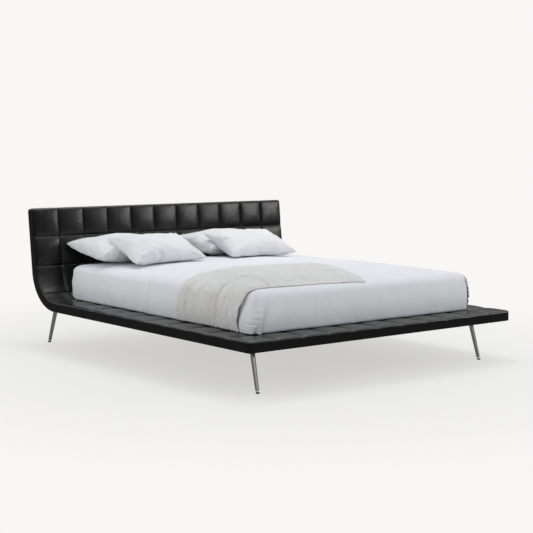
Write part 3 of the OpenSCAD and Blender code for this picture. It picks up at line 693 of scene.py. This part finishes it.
points, facing, faces, _ = over_the_bed(0.0, 0.006, (0.02, 0.05, 0.09, 0.16, 0.3, 0.5, 0.8), bed_low.y,
    bed_high.y, ["foot", "right", "head", "left"], 0.03)
cord = np.exp(-((points[:, 2] - platform_top - 0.022) / 0.005) ** 2) + np.exp(-((points[:, 2]
    - platform_top - 0.185) / 0.005) ** 2)
tufts = np.abs(np.sin(points[:, 0] * math.pi / 0.1) * np.sin(points[:, 1] * math.pi / 0.1)) ** 0.4
points += facing * (0.003 * cord * (facing[:, 2] < 0.8) * (facing[:, 2] > -0.5) - 0.003 - 0.004
    * (1 - tufts) * (facing[:, 2] > 0.8))[:, None]
clear_of_headboard(points, 0.006)
mattress = new_piece("mattress_body", points, faces)
ticking, tick_tree, tick = new_finish("damask_ticking", roughness=0.85, sheen_weight=0.2)
sprig = put(tick_tree, "ShaderNodeTexVoronoi", {"Vector": own_place(tick_tree), "Scale": 24.0},
    feature="SMOOTH_F1")
tick_tree.links.new(shades(tick_tree, sprig.outputs["Distance"],
    [(0.25, (0.70, 0.69, 0.66)), (0.4, (0.82, 0.81, 0.79))]), tick.inputs["Base Color"])
raise_skin(tick_tree, tick, cloudy(tick_tree, 900.0), 0.0004)
mattress.data.materials.append(ticking)
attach(mattress, "mattress_unit")
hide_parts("mattress")

# ---- Fitted sheet ----
# White cotton percale pulled over the mattress, its elastic edge gathered underneath. It shows
# between the coverlet and the pillows, with fine creases running down the side.
points, facing, faces, _ = over_the_bed(0.003, 0.003, (0.015, 0.03, 0.045), bed_low.y, bed_high.y,
    ["foot", "right", "head", "left"], 0.0135, 14)
side_on = np.clip(1.2 - 1.5 * facing[:, 2], 0, 1)
slant = points[:, 1] + 0.45 * points[:, 2]
creases = np.array([noise.ridged_multi_fractal(Vector((t * 26, z * 4, 1.7)), 0.9, 2.1, 3, 0.9, 2.0) - 1
    for t, z in zip(slant, points[:, 2])])
pulled = np.clip((points[:, 1] - foot_edge - 1.25) / 0.3, 0, 1)
points += facing * (0.0045 * side_on * creases * pulled + 0.0014 * ripple(points, (9, 9, 9))
    * (1 - side_on))[:, None]
clear_of_headboard(points, 0.003)
points[:, 2] = np.maximum(points[:, 2], platform_top + 0.0012)


def cotton_finish(name, tint, shadow, crease_scale, crease_depth, sheen):
    """Plain-woven cotton: an even pale colour, a fine weave and soft creases."""
    finish, tree, shader = new_finish(name, roughness=0.88, sheen_weight=sheen, sheen_roughness=0.5)
    tree.links.new(shades(tree, cloudy(tree, 6.0, 5.0), [(0.3, shadow), (0.7, tint)]),
        shader.inputs["Base Color"])
    warp = put(tree, "ShaderNodeTexWave", {"Vector": own_place(tree), "Scale": 420.0, "Distortion": 1.5},
        bands_direction="X")
    weft = put(tree, "ShaderNodeTexWave", {"Vector": own_place(tree), "Scale": 420.0, "Distortion": 1.5},
        bands_direction="Y")
    threads = reckon(tree, "MULTIPLY", warp.outputs["Fac"], weft.outputs["Fac"])
    weave = put(tree, "ShaderNodeBump", {"Height": threads, "Distance": 0.0002, "Strength": 0.3})
    fold = cloudy(tree, crease_scale, 6.0, roughness=0.62, distortion=1.4)
    soft = put(tree, "ShaderNodeBump", {"Height": fold, "Distance": crease_depth, "Strength": 0.6,
        "Normal": weave.outputs["Normal"]})
    tree.links.new(soft.outputs["Normal"], shader.inputs["Normal"])
    return finish


percale = cotton_finish("white_percale", (0.80, 0.81, 0.83), (0.76, 0.77, 0.80), 11.0, 0.004, 0.15)
sheet = new_piece("fitted_sheet_cloth", points, faces)
sheet.data.materials.append(percale)
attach(sheet, "mattress_unit")
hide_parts("fitted_sheet")

# ---- Coverlet ----
# A smooth white cotton coverlet, drawn over the foot half of the mattress and hanging on three
# sides to the leather; its foot corners are pleated, with a crinkled pleat edge.
cover_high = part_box("coverlet")[1]
hem_rows = (0.028, 0.022, 0.0185, 0.0165, 0.0145, 0.011, 0.005)
points, facing, faces, row = over_the_bed(0.013, 0.004, (0.004,), bed_low.y, cover_high.y,
    ["left", "foot", "right"], 0.0135, 22, hem_rows)
low_down = np.clip((platform_top + 0.20 - points[:, 2]) / 0.19, 0, 1) * (row > 0)
drift = ripple(points, (4, 4, 3), 2, 5.0)
small = ripple(points, (15, 15, 8), 3, 9.0)
stitched = np.exp(-((cover_high.y - 0.0165 - points[:, 1]) / 0.0028) ** 2)
flap_line = -half_bed + 0.009 + 0.060 * np.clip((points[:, 2] - platform_top) / 0.215, 0, 1) ** 1.2
beside_flap = np.exp(-((points[:, 0] - flap_line - 0.026) / 0.013) ** 2) * (facing[:, 1] <
    -0.7) * np.clip((platform_top + 0.215 - points[:, 2]) / 0.08, 0, 1)
fall_folds = np.array([drift_at(p[0] * 7 + p[1] * 7, 0.5 * p[2], 2.2) for p in points])
points += facing * (0.004 * drift + 0.0016 * small - 0.0035 * stitched + 0.006 * low_down * fall_folds
    - 0.010 * beside_flap)[:, None]
foot_dip = 0.004 * np.array([drift_at(p[0] * 9, p[1] * 9, 4.0) for p in points]) * (low_down > 0.85)
points[:, 2] += foot_dip
points[:, 2] = np.maximum(points[:, 2], platform_top + 0.003)
points[:, 2] -= 0.006 * np.clip((points[:, 1] - (cover_high.y - 0.035)) / 0.035, 0, 1) ** 2 * (row == 0)
hem_slip = np.clip((points[:, 1] - (cover_high.y - 0.08)) / 0.08, 0, 1) ** 2
points[:, 1] += hem_slip * (0.006 * np.array([drift_at(p[0] * 3, 1.0, p[2] * 9) for p in points]) - 0.030
    * np.clip((platform_top + 0.235 - points[:, 2]) / 0.05, 0, 1) * (row > 0)
    * np.clip((points[:, 2] - platform_top - 0.08) / 0.1, 0, 1))
coverlet = new_piece("coverlet_cloth", points, faces)
thickened(coverlet, "wadding", 0.006, -1)
satin = cotton_finish("white_sateen", (0.79, 0.80, 0.825), (0.76, 0.77, 0.80), 7.0, 0.003, 0.2)
applied(coverlet, satin)
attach(coverlet, "coverlet_unit")
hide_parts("coverlet")
on_coverlet = BVHTree.FromPolygons([tuple(p) for p in points], faces)


def laid_on(start, inwards, lift):
    """The place on the coverlet that a point moving inwards reaches, lifted back off it."""
    found, _, _, _ = on_coverlet.ray_cast(Vector(start), Vector(inwards), 0.4)
    return None if found is None else found - Vector(inwards) * lift


def corner_pleat(name, side, shift, lean_in, proud):
    """The flap left over where two hanging sides meet, lapped round the corner, with a puckered edge."""
    across_steps, up_steps = 46, 72
    made = []
    for v in range(up_steps + 1):
        z = 0.005 + 0.215 * v / up_steps
        share = v / up_steps
        reach = shift + lean_in * share ** 1.2
        start = reach - 0.15 * (1 - 0.45 * share)
        for u in range(across_steps + 1):
            across_share = u / across_steps
            run_on = start + (reach - start) * across_share
            near_edge = np.clip((across_share - 0.62) / 0.38, 0, 1)
            pucker = drift_at(z * 62, side * 3.0, near_edge * 1.5)
            pucker += 0.5 * drift_at(z * 150, side * 5.0, near_edge * 2)
            rise = math.sin(min(1, across_share / 0.45) * math.pi / 2) * (1 - share ** 3)
            lift = -0.003 + proud * rise + 0.007 * near_edge * pucker + 0.006 * near_edge
            edge_wave = 0.004 * drift_at(z * 55, 9.0, side)
            run_on += edge_wave * near_edge
            turn = np.clip((run_on + 0.055) / 0.055, 0, 1) * math.pi / 2
            corner_x, corner_y = half_bed + 0.013, bed_low.y - 0.013
            if run_on < -0.055:
                place, inwards = (side * (corner_x + 0.1), corner_y - run_on), (-side, 0)
            elif run_on < 0.0:
                aim = (side * (corner_x - 0.05), corner_y + 0.05)
                inwards = (-side * math.cos(turn), math.sin(turn))
                place = (aim[0] - inwards[0] * 0.2, aim[1] - inwards[1] * 0.2)
            else:
                place, inwards = (side * (corner_x - 0.05 - run_on), corner_y - 0.1), (0, 1)
            spot = laid_on((place[0], place[1], platform_top + z), (inwards[0], inwards[1], 0), lift)
            made.append(spot or made[-1])
    wide_row = across_steps + 1
    rows_made = [(a * wide_row + b, a * wide_row + b + 1, (a + 1) * wide_row + b + 1,
        (a + 1) * wide_row + b) for a in range(up_steps) for b in range(across_steps)]
    if side > 0:
        rows_made = [tuple(reversed(f)) for f in rows_made]
    flap = new_piece(name, [tuple(p) for p in made], rows_made)
    thickened(flap, "cloth_thickness", 0.002, 0)
    applied(flap, satin)
    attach(flap, "coverlet_unit")
    return flap


pleats = [corner_pleat("corner_pleat_left", -1, -0.028, 0.060, 0.019),
    corner_pleat("corner_pleat_right", 1, -0.035, 0.030, 0.008)]

# ---- Throw ----
# A brushed mohair throw, laid across the left side of the bed with one corner folded over; it
# hangs to the leather with a ragged, teased-out hem.
throw_line = [(side_run * math.sin(a), side_drop * (1 - math.cos(a)))
    for a in np.linspace(0, math.pi / 2, 12)]
throw_line += [(side_run, edge_height + 0.013 - 0.008)]
run = np.array([p[0] for p in throw_line])
drop = np.array([p[1] for p in throw_line])
length_along = np.concatenate([[0], np.cumsum(np.hypot(np.diff(run), np.diff(drop)))])
hang = length_along[-1]
top_edge_x = -half_bed + side_run
reach_marks = [-hang, -hang * 0.75, -hang * 0.45, -0.05, 0.0, 0.165, 0.265, 0.475, 0.685, 0.973, 1.04]
head_side = [0.892, 0.905, 0.895, 0.860, 0.905, 1.010, 1.049, 1.067, 1.067, 0.995, 0.97]
foot_side = [0.294, 0.313, 0.290, 0.255, 0.262, 0.305, 0.290, 0.275, 0.262, 0.235, 0.230]
lines, columns = 215, 145
throw_points, throw_flat, throw_faces = [], [], []
far_marks, far_reach = [0.235, 0.337, 0.68, 0.85, 0.995], [0.003, 0.05, 0.167, 0.20, 0.148]
fold_line = [(-0.33, 0.505), (-0.24, 0.528), (-0.145, 0.522), (-0.07, 0.500), (-0.02, 0.505),
    (0.04, 0.545), (0.10, 0.590), (0.16, 0.632), (0.20, 0.644), (0.218, 0.605), (0.212, 0.526),
    (0.180, 0.432), (0.11, 0.285)]
fold_x, fold_y = np.array(fold_line)[:, 0], np.array(fold_line)[:, 1]


def beside_fold(s, y):
    """Distance from the crease of the folded corner, and whether a place is inside the fold."""
    px, py, best = fold_x, fold_y, 9.0
    inside = False
    ring = list(zip(px, py)) + [(-0.33, 0.15)]
    for (ax, ay), (bx, by) in zip(ring[:-2], ring[1:-1]):
        t = max(0, min(1, ((s - ax) * (bx - ax) + (y - ay) * (by - ay))
            / ((bx - ax) ** 2 + (by - ay) ** 2)))
        best = min(best, math.hypot(s - ax - t * (bx - ax), y - ay - t * (by - ay)))
    for (ax, ay), (bx, by) in zip(ring, ring[1:] + ring[:1]):
        if (ay > y) != (by > y) and s < (bx - ax) * (y - ay) / (by - ay) + ax:
            inside = not inside
    return best, inside


for i in range(lines + 1):
    for j in range(columns + 1):
        a = j / columns
        share = i / lines
        s = -hang + share * (hang + 1.03)
        y_foot, y_head = np.interp(s, reach_marks, foot_side), np.interp(s, reach_marks, head_side)
        y = y_foot + a * (y_head - y_foot)
        end = np.interp(y, far_marks, far_reach) - top_edge_x
        s = -hang + share * (hang + end)
        wobble = 0.012 * drift_at(s * 12, a * 3, 7.0) + 0.006 * drift_at(s * 38, a * 3, 2.0)
        y += wobble * (1 if a > 0.5 else -1) * abs(2 * a - 1) ** 2
        if s < 0:
            o, d = np.interp(-s, length_along, run), np.interp(-s, length_along, drop)
            tilt = min(math.pi / 2, math.pi / 2 * min(1, -s / length_along[11]))
            x, z = top_edge_x - 0.013 - o, edge_height + 0.013 - d
            n = (-math.sin(tilt), 0, math.cos(tilt))
        else:
            x, n = top_edge_x + s, (0, 0, 1)
            z = edge_height + 0.013 + float(crown(np.array(x), np.array(foot_edge + y)))
        near, inside = beside_fold(s, y)
        hanging = min(1, max(0, -s / 0.12))
        streak = noise.fractal(Vector((a * 26 + 0.8 * s, s * 2.8, 2.0)), 0.8, 2.1, 4)
        swell = drift_at(a * 9 + 0.6 * s, s * 2.2, 6.0)
        rim = min(1, min(a, 1 - a) * 0.75 / 0.02)
        crease = -0.5 * math.exp(-((near - 0.010) / 0.005) ** 2) * (not inside) + math.exp(-(near
            / 0.005) ** 2)
        lift = 0.006 + 0.0055 * streak + (0.006 + 0.009 * hanging) * max(swell,
            -0.3) + 0.010 * crease + (0.010 if inside else 0.0)
        hem = max(0, 1 - (s + hang) / 0.035)
        loose_edge = hanging * (0.010 * max(0, 1 - a / 0.05) + 0.006 * max(0, 1 - (1 - a) / 0.05))
        lift = max(lift * max(rim, 0.6 * hanging), 0.0022) + loose_edge + 0.004 * hem * drift_at(a * 34,
            8.0, 1.0)
        z += 0.007 * hem * noise.fractal(Vector((a * 60, 3.0, 1.0)), 0.8, 2.0, 3)
        over = (x + n[0] * 0.06, foot_edge + y, platform_top + z + n[2] * 0.06)
        lying = laid_on(over, (-n[0], 0, -n[2]), 0.0018 + lift)
        throw_points.append(tuple(lying) if lying else (x + n[0] * lift, foot_edge + y,
            platform_top + z + n[2] * lift))
        throw_flat.append((a * 0.82, s + hang))
for i in range(lines):
    for j in range(columns):
        k = i * (columns + 1) + j
        throw_faces.append((k + 1, k + columns + 2, k + columns + 1, k))
throw = new_piece("throw_cloth", throw_points, throw_faces)
thickened(throw, "cloth_thickness", 0.0035, 0)
mohair, mohair_tree, mohair_skin = new_finish("brushed_mohair", roughness=0.95, sheen_weight=0.6,
    sheen_roughness=0.6)
tease = cloudy(mohair_tree, detail=8.0, stretch=(30, 66, 18), roughness=0.72, distortion=2.6)
mixed = reckon(mohair_tree, "ADD", tease, between(mohair_tree, cloudy(mohair_tree, 9.0, 4.0), -0.1, 0.1))
mohair_tree.links.new(shades(mohair_tree, mixed, [(0.3, (0.52, 0.51, 0.495)), (0.5, (0.68, 0.668, 0.648)),
    (0.7, (0.82, 0.81, 0.79))]), mohair_skin.inputs["Base Color"])
raise_skin(mohair_tree, mohair_skin, tease, 0.004, 0.8)
applied(throw, mohair)
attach(throw, "throw_unit")
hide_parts("throw_top", "throw_drop")

fraying = np.array([max(0, 1 - min(f[0], 0.82 - f[0], f[1]) / 0.014) for f in throw_flat])
nap = new_piece("throw_nap", throw_points, throw_faces)
keep_value(nap, "fraying", fraying)
teasing, ask, out = new_rule("teased_fibres", {"Density": 5200.0, "Edge density": 40000.0,
    "Length": 0.016, "Width": 0.0005, "Seed": 7, "Wool": None})
density = reckon(teasing, "ADD", ask["Density"], reckon(teasing, "MULTIPLY", named(teasing, "fraying"),
    ask["Edge density"]))
rooted = put(teasing, "GeometryNodeDistributePointsOnFaces",
    {"Mesh": ask["Geometry"], "Density": density, "Seed": ask["Seed"]})
fibre = put(teasing, "GeometryNodeMeshCone", {"Vertices": 3, "Radius Top": 0.0,
    "Radius Bottom": ask["Width"], "Depth": ask["Length"]}, fill_type="NONE")
sizes = put(teasing, "FunctionNodeRandomValue", {"Min": 0.45, "Max": 1.3, "Seed": ask["Seed"]},
    data_type="FLOAT")
lying = put(teasing, "FunctionNodeRandomValue", {"Min": (1.15, -0.3, 0.0), "Max": (1.45, 0.3, 6.2832),
    "Seed": ask["Seed"]}, data_type="FLOAT_VECTOR")
planted = put(teasing, "GeometryNodeInstanceOnPoints", {"Points": rooted.outputs["Points"],
    "Instance": fibre.outputs["Mesh"], "Rotation": rooted.outputs["Rotation"],
    "Scale": next(o for o in sizes.outputs if o.enabled)})
combed = put(teasing, "GeometryNodeRotateInstances", {"Instances": planted.outputs[0],
    "Rotation": next(o for o in lying.outputs if o.enabled)})
finish_rule(teasing, combed.outputs[0], ask["Wool"], out)
follow_rule(nap, teasing, wool=mohair)
applied(nap, mohair)
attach(nap, "throw_unit")

# ---- Pillows ----
# White cotton cases sewn flat and stuffed: each is two layers of cloth, inflated until the
# corners draw in, then settled where it lies; the front ones lean on the back ones.
pillow_cloth = cotton_finish("pillow_percale", (0.80, 0.80, 0.81), (0.75, 0.755, 0.775), 16.0, 0.005, 0.2)


def stuffed_case(name, width, depth, crown_up, belly, seed):
    """Two sewn layers blown up by the stuffing, lying flat with their seam level."""
    nx, ny = round(width / 0.0125), round(depth / 0.0125)
    points, faces, top, low = [], [], {}, {}
    for j in range(ny + 1):
        for i in range(nx + 1):
            u, v = 2 * i / nx - 1, 2 * j / ny - 1
            x, y = u * width / 2 * (1 - 0.03 * (1 - v * v)), v * depth / 2 * (1 - 0.05 * (1 - u * u))
            puff = 0.03 * (1 - u ** 4) * (1 - v ** 4)
            puff *= 1 + 0.5 * drift_at(u * 2.3 + seed, v * 2.3, seed * 1.7)
            top[i, j] = len(points)
            points.append((x, y, puff))
            if 0 < i < nx and 0 < j < ny:
                low[i, j] = len(points)
                points.append((x, y, -puff))
            else:
                low[i, j] = top[i, j]
    for j in range(ny):
        for i in range(nx):
            faces.append((top[i, j], top[i + 1, j], top[i + 1, j + 1], top[i, j + 1]))
            faces.append((low[i, j], low[i, j + 1], low[i + 1, j + 1], low[i + 1, j]))
    case = new_piece(name, points, faces)
    cloth = case.modifiers.new("stuffing", "CLOTH")
    cloth.settings.quality = 6
    cloth.settings.mass = 0.2
    cloth.settings.tension_stiffness = cloth.settings.compression_stiffness = 18
    cloth.settings.shear_stiffness = 6
    cloth.settings.bending_stiffness = 0.25
    cloth.settings.use_pressure = True
    cloth.settings.uniform_pressure_force = 5.0
    cloth.settings.effector_weights.gravity = 0
    cloth.collision_settings.use_collision = False
    cloth.point_cache.frame_end = 30
    for step in range(1, 27):
        bpy.context.scene.frame_set(step)
    applied(case)
    bpy.context.scene.frame_set(1)
    finer = case.modifiers.new("finer", "SUBSURF")
    finer.levels = finer.render_levels = 1
    applied(case)
    co = np.array([v.co for v in case.data.vertices])
    co -= (co.max(0) + co.min(0)) / 2 * np.array([1, 1, 0])
    co[:, 0] *= width / 2 / np.abs(co[:, 0]).max()
    co[:, 1] *= depth / 2 / np.abs(co[:, 1]).max()
    co[:, 2] *= np.where(co[:, 2] > 0, crown_up / co[:, 2].max(), -belly / co[:, 2].min())
    return case, co


def lay_pillow(name, node, body, width, depth, crown_up, belly, tilt, centre, seed):
    case, co = stuffed_case(name, width, depth, crown_up, belly, seed)
    case.data.vertices.foreach_set("co", co.astype(np.float32).ravel())
    case.data.update()
    outwards = np.zeros(len(co) * 3, np.float32)
    case.data.vertices.foreach_get("normal", outwards)
    from_side, from_end = width / 2 - np.abs(co[:, 0]), depth / 2 - np.abs(co[:, 1])
    to_corner = np.hypot(from_side, from_end)
    round_corner = np.arctan2(from_end, from_side)
    strain = np.array([drift_at(p[0] * 8 + seed, p[1] * 8, 3.0 + (p[2] > 0)) for p in co])
    drawn = np.sin(round_corner * 17 + 3.5 * strain) * np.exp(-((to_corner - 0.09) / 0.07) ** 2)
    rumples = np.array([noise.ridged_multi_fractal(Vector((p[0] * 9 + p[1] * 5 + seed, p[1] * 13,
        p[2] * 8)), 0.9, 2.1, 3, 0.9, 2.0) - 1 for p in co])
    along_seam = np.sin(co[:, 0] * 150 + 5 * strain) * np.exp(-from_end / 0.022)
    amount = np.clip(np.minimum(from_side, from_end) / 0.02, 0,
        1) * (0.0030 * drawn + 0.0045 * rumples + 0.0045 * strain + 0.0012 * along_seam)
    co = co + outwards.reshape(-1, 3) * amount[:, None]
    lean_back = Matrix.Rotation(math.radians(tilt), 3, "X")
    co = co @ np.array(lean_back).T + np.array(centre)
    floor_z = platform_top + edge_height + 0.004 + crown(co[:, 0], co[:, 1])
    under = floor_z - co[:, 2]
    co[:, 2] = np.where(under > -0.01, floor_z + 0.012 * np.exp(-np.clip(under + 0.01, 0, None) / 0.02)
        - 0.002, co[:, 2])
    wall_z = np.clip(co[:, 2] - platform_top, 0, bend_radius)
    wall_y = foot_edge + flat_length + np.sqrt(bend_radius ** 2
        - (bend_radius - wall_z) ** 2) + np.clip(co[:, 2] - platform_top - bend_radius, 0,
        None) * math.tan(lean) - 0.008
    co[:, 1] = np.minimum(co[:, 1], wall_y)
    case.data.vertices.foreach_set("co", co.astype(np.float32).ravel())
    case.data.update()
    case.data.shade_smooth()
    case.data.materials.clear()
    case.data.materials.append(pillow_cloth)
    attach(case, body)
    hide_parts(node)


for side, x_back, x_front, seed in (("left", -0.535, -0.462, 1.0), ("right", 0.365, 0.348, 4.0)):
    lay_pillow(f"back_pillow_{side}", f"pillow_back_{side}", f"pillow_back_{side}_unit", 0.67, 0.45,
        0.090, 0.105, 6, (x_back, foot_edge + 2.035, platform_top + 0.343), seed)
    lay_pillow(f"front_pillow_{side}", f"pillow_front_{side}", f"pillow_front_{side}_unit", 0.585, 0.37,
        0.082, 0.085, 21, (x_front, foot_edge + 1.764, platform_top + 0.352), seed + 1.5)

# ---- Room, light and camera ----
# A plain pale floor, a big soft light overhead, one from the foot's right and a fainter one from
# the left, seen from beyond the foot's left corner at standing height.
paper, paper_tree, paper_skin = new_finish("pale_floor", base_color=(0.80, 0.795, 0.78, 1), roughness=0.9)
backdrop_colour = (0.938, 0.930, 0.916, 1)
glow = put(paper_tree, "ShaderNodeEmission", {"Color": backdrop_colour, "Strength": 1.0})
away = put(paper_tree, "ShaderNodeVectorMath", {0: own_place(paper_tree)}, operation="LENGTH")
spread = put(paper_tree, "ShaderNodeMapRange", {"Value": away.outputs["Value"], "From Min": 1.2,
    "From Max": 3.6, "To Min": 0.62, "To Max": 1.0}, interpolation_type="SMOOTHSTEP")
blended = put(paper_tree, "ShaderNodeMixShader", {0: spread.outputs["Result"], 1: paper_skin.outputs[0],
    2: glow.outputs[0]})
paper_tree.links.new(blended.outputs[0], paper_tree.nodes["Material Output"].inputs["Surface"])
floor = new_piece("studio_floor", [(-30, -30, 0), (30, -30, 0), (30, 30, 0), (-30, 30, 0)], [(0, 1, 2, 3)])
floor.data.materials.append(paper)
floor.visible_glossy = False

turned, raised, roll = -0.700147, 0.103832, 0.011174
back = Vector((math.sin(turned) * math.cos(raised), -math.cos(turned) * math.cos(raised), math.sin(raised)))
right = Vector((math.cos(turned), math.sin(turned), 0))
up = back.cross(right)
turned_right = right * math.cos(roll) + up * math.sin(roll)
turned_up = up * math.cos(roll) - right * math.sin(roll)
lens = bpy.data.cameras.new("room_camera")
lens.lens, lens.sensor_width, lens.clip_end = 90.61, 36, 200
eye = bpy.data.objects.new("room_camera", lens)
bpy.context.scene.collection.objects.link(eye)
spot = Vector((-5.71632, foot_edge - 5.61705, platform_top + 1.17808))
eye.matrix_world = Matrix(((turned_right.x, turned_up.x, back.x, spot.x),
    (turned_right.y, turned_up.y, back.y, spot.y), (turned_right.z, turned_up.z, back.z, spot.z),
    (0, 0, 0, 1)))
bpy.context.scene.camera = eye

room = bpy.data.worlds.new("room")
bpy.context.scene.world = room
room.use_nodes = True
walls = room.node_tree
fill_light = walls.nodes["Background"]
fill_light.inputs["Color"].default_value = (0.84, 0.865, 0.91, 1)
fill_light.inputs["Strength"].default_value = 0.62
mirrored = put(walls, "ShaderNodeSeparateXYZ", {"Vector": put(walls,
    "ShaderNodeTexCoord").outputs["Generated"]})
brightness = shades(walls, between(walls, mirrored.outputs["Z"], 0.5, 1.0),
    [(0.5, (0.13, 0.13, 0.13)), (0.502, (0.07, 0.07, 0.072)), (0.555, (0.11, 0.11, 0.112)),
    (0.64, (0.30, 0.30, 0.305)), (0.78, (1.15, 1.15, 1.15))])
reflected = put(walls, "ShaderNodeBackground", {"Color": brightness, "Strength": 1.0})
backdrop = put(walls, "ShaderNodeBackground", {"Color": backdrop_colour, "Strength": 1.0})
rays = put(walls, "ShaderNodeLightPath")
unseen = put(walls, "ShaderNodeMixShader", {0: rays.outputs["Is Glossy Ray"], 1: fill_light.outputs[0],
    2: reflected.outputs[0]})
chosen = put(walls, "ShaderNodeMixShader", {0: rays.outputs["Is Camera Ray"], 1: unseen.outputs[0],
    2: backdrop.outputs[0]})
walls.links.new(chosen.outputs[0], walls.nodes["World Output"].inputs["Surface"])


def soft_light(name, place, aim, size, power):
    lamp = bpy.data.lights.new(name, "AREA")
    lamp.shape, lamp.size, lamp.size_y, lamp.energy = "RECTANGLE", size[0], size[1], power
    lamp.color = (1.0, 0.995, 0.985)
    held = bpy.data.objects.new(name, lamp)
    bpy.context.scene.collection.objects.link(held)
    held.location = place
    held.rotation_euler = (Vector(aim) - Vector(place)).to_track_quat("-Z", "Y").to_euler()
    return held


soft_light("overhead_light", (0.6, 0.8, 4.2), (0, 0, 0.3), (2.6, 2.6), 72)
soft_light("foot_light", (4.7, -3.5, 2.2), (0, 0.6, 0.5), (2.4, 1.1), 62)
side_light = soft_light("side_light", (-5.0, 1.5, 1.5), (0, 0, 0.4), (3.0, 1.6), 35)
side_light.visible_glossy = False
bpy.context.scene.view_settings.view_transform = "Standard"

bpy.context.view_layer.update()
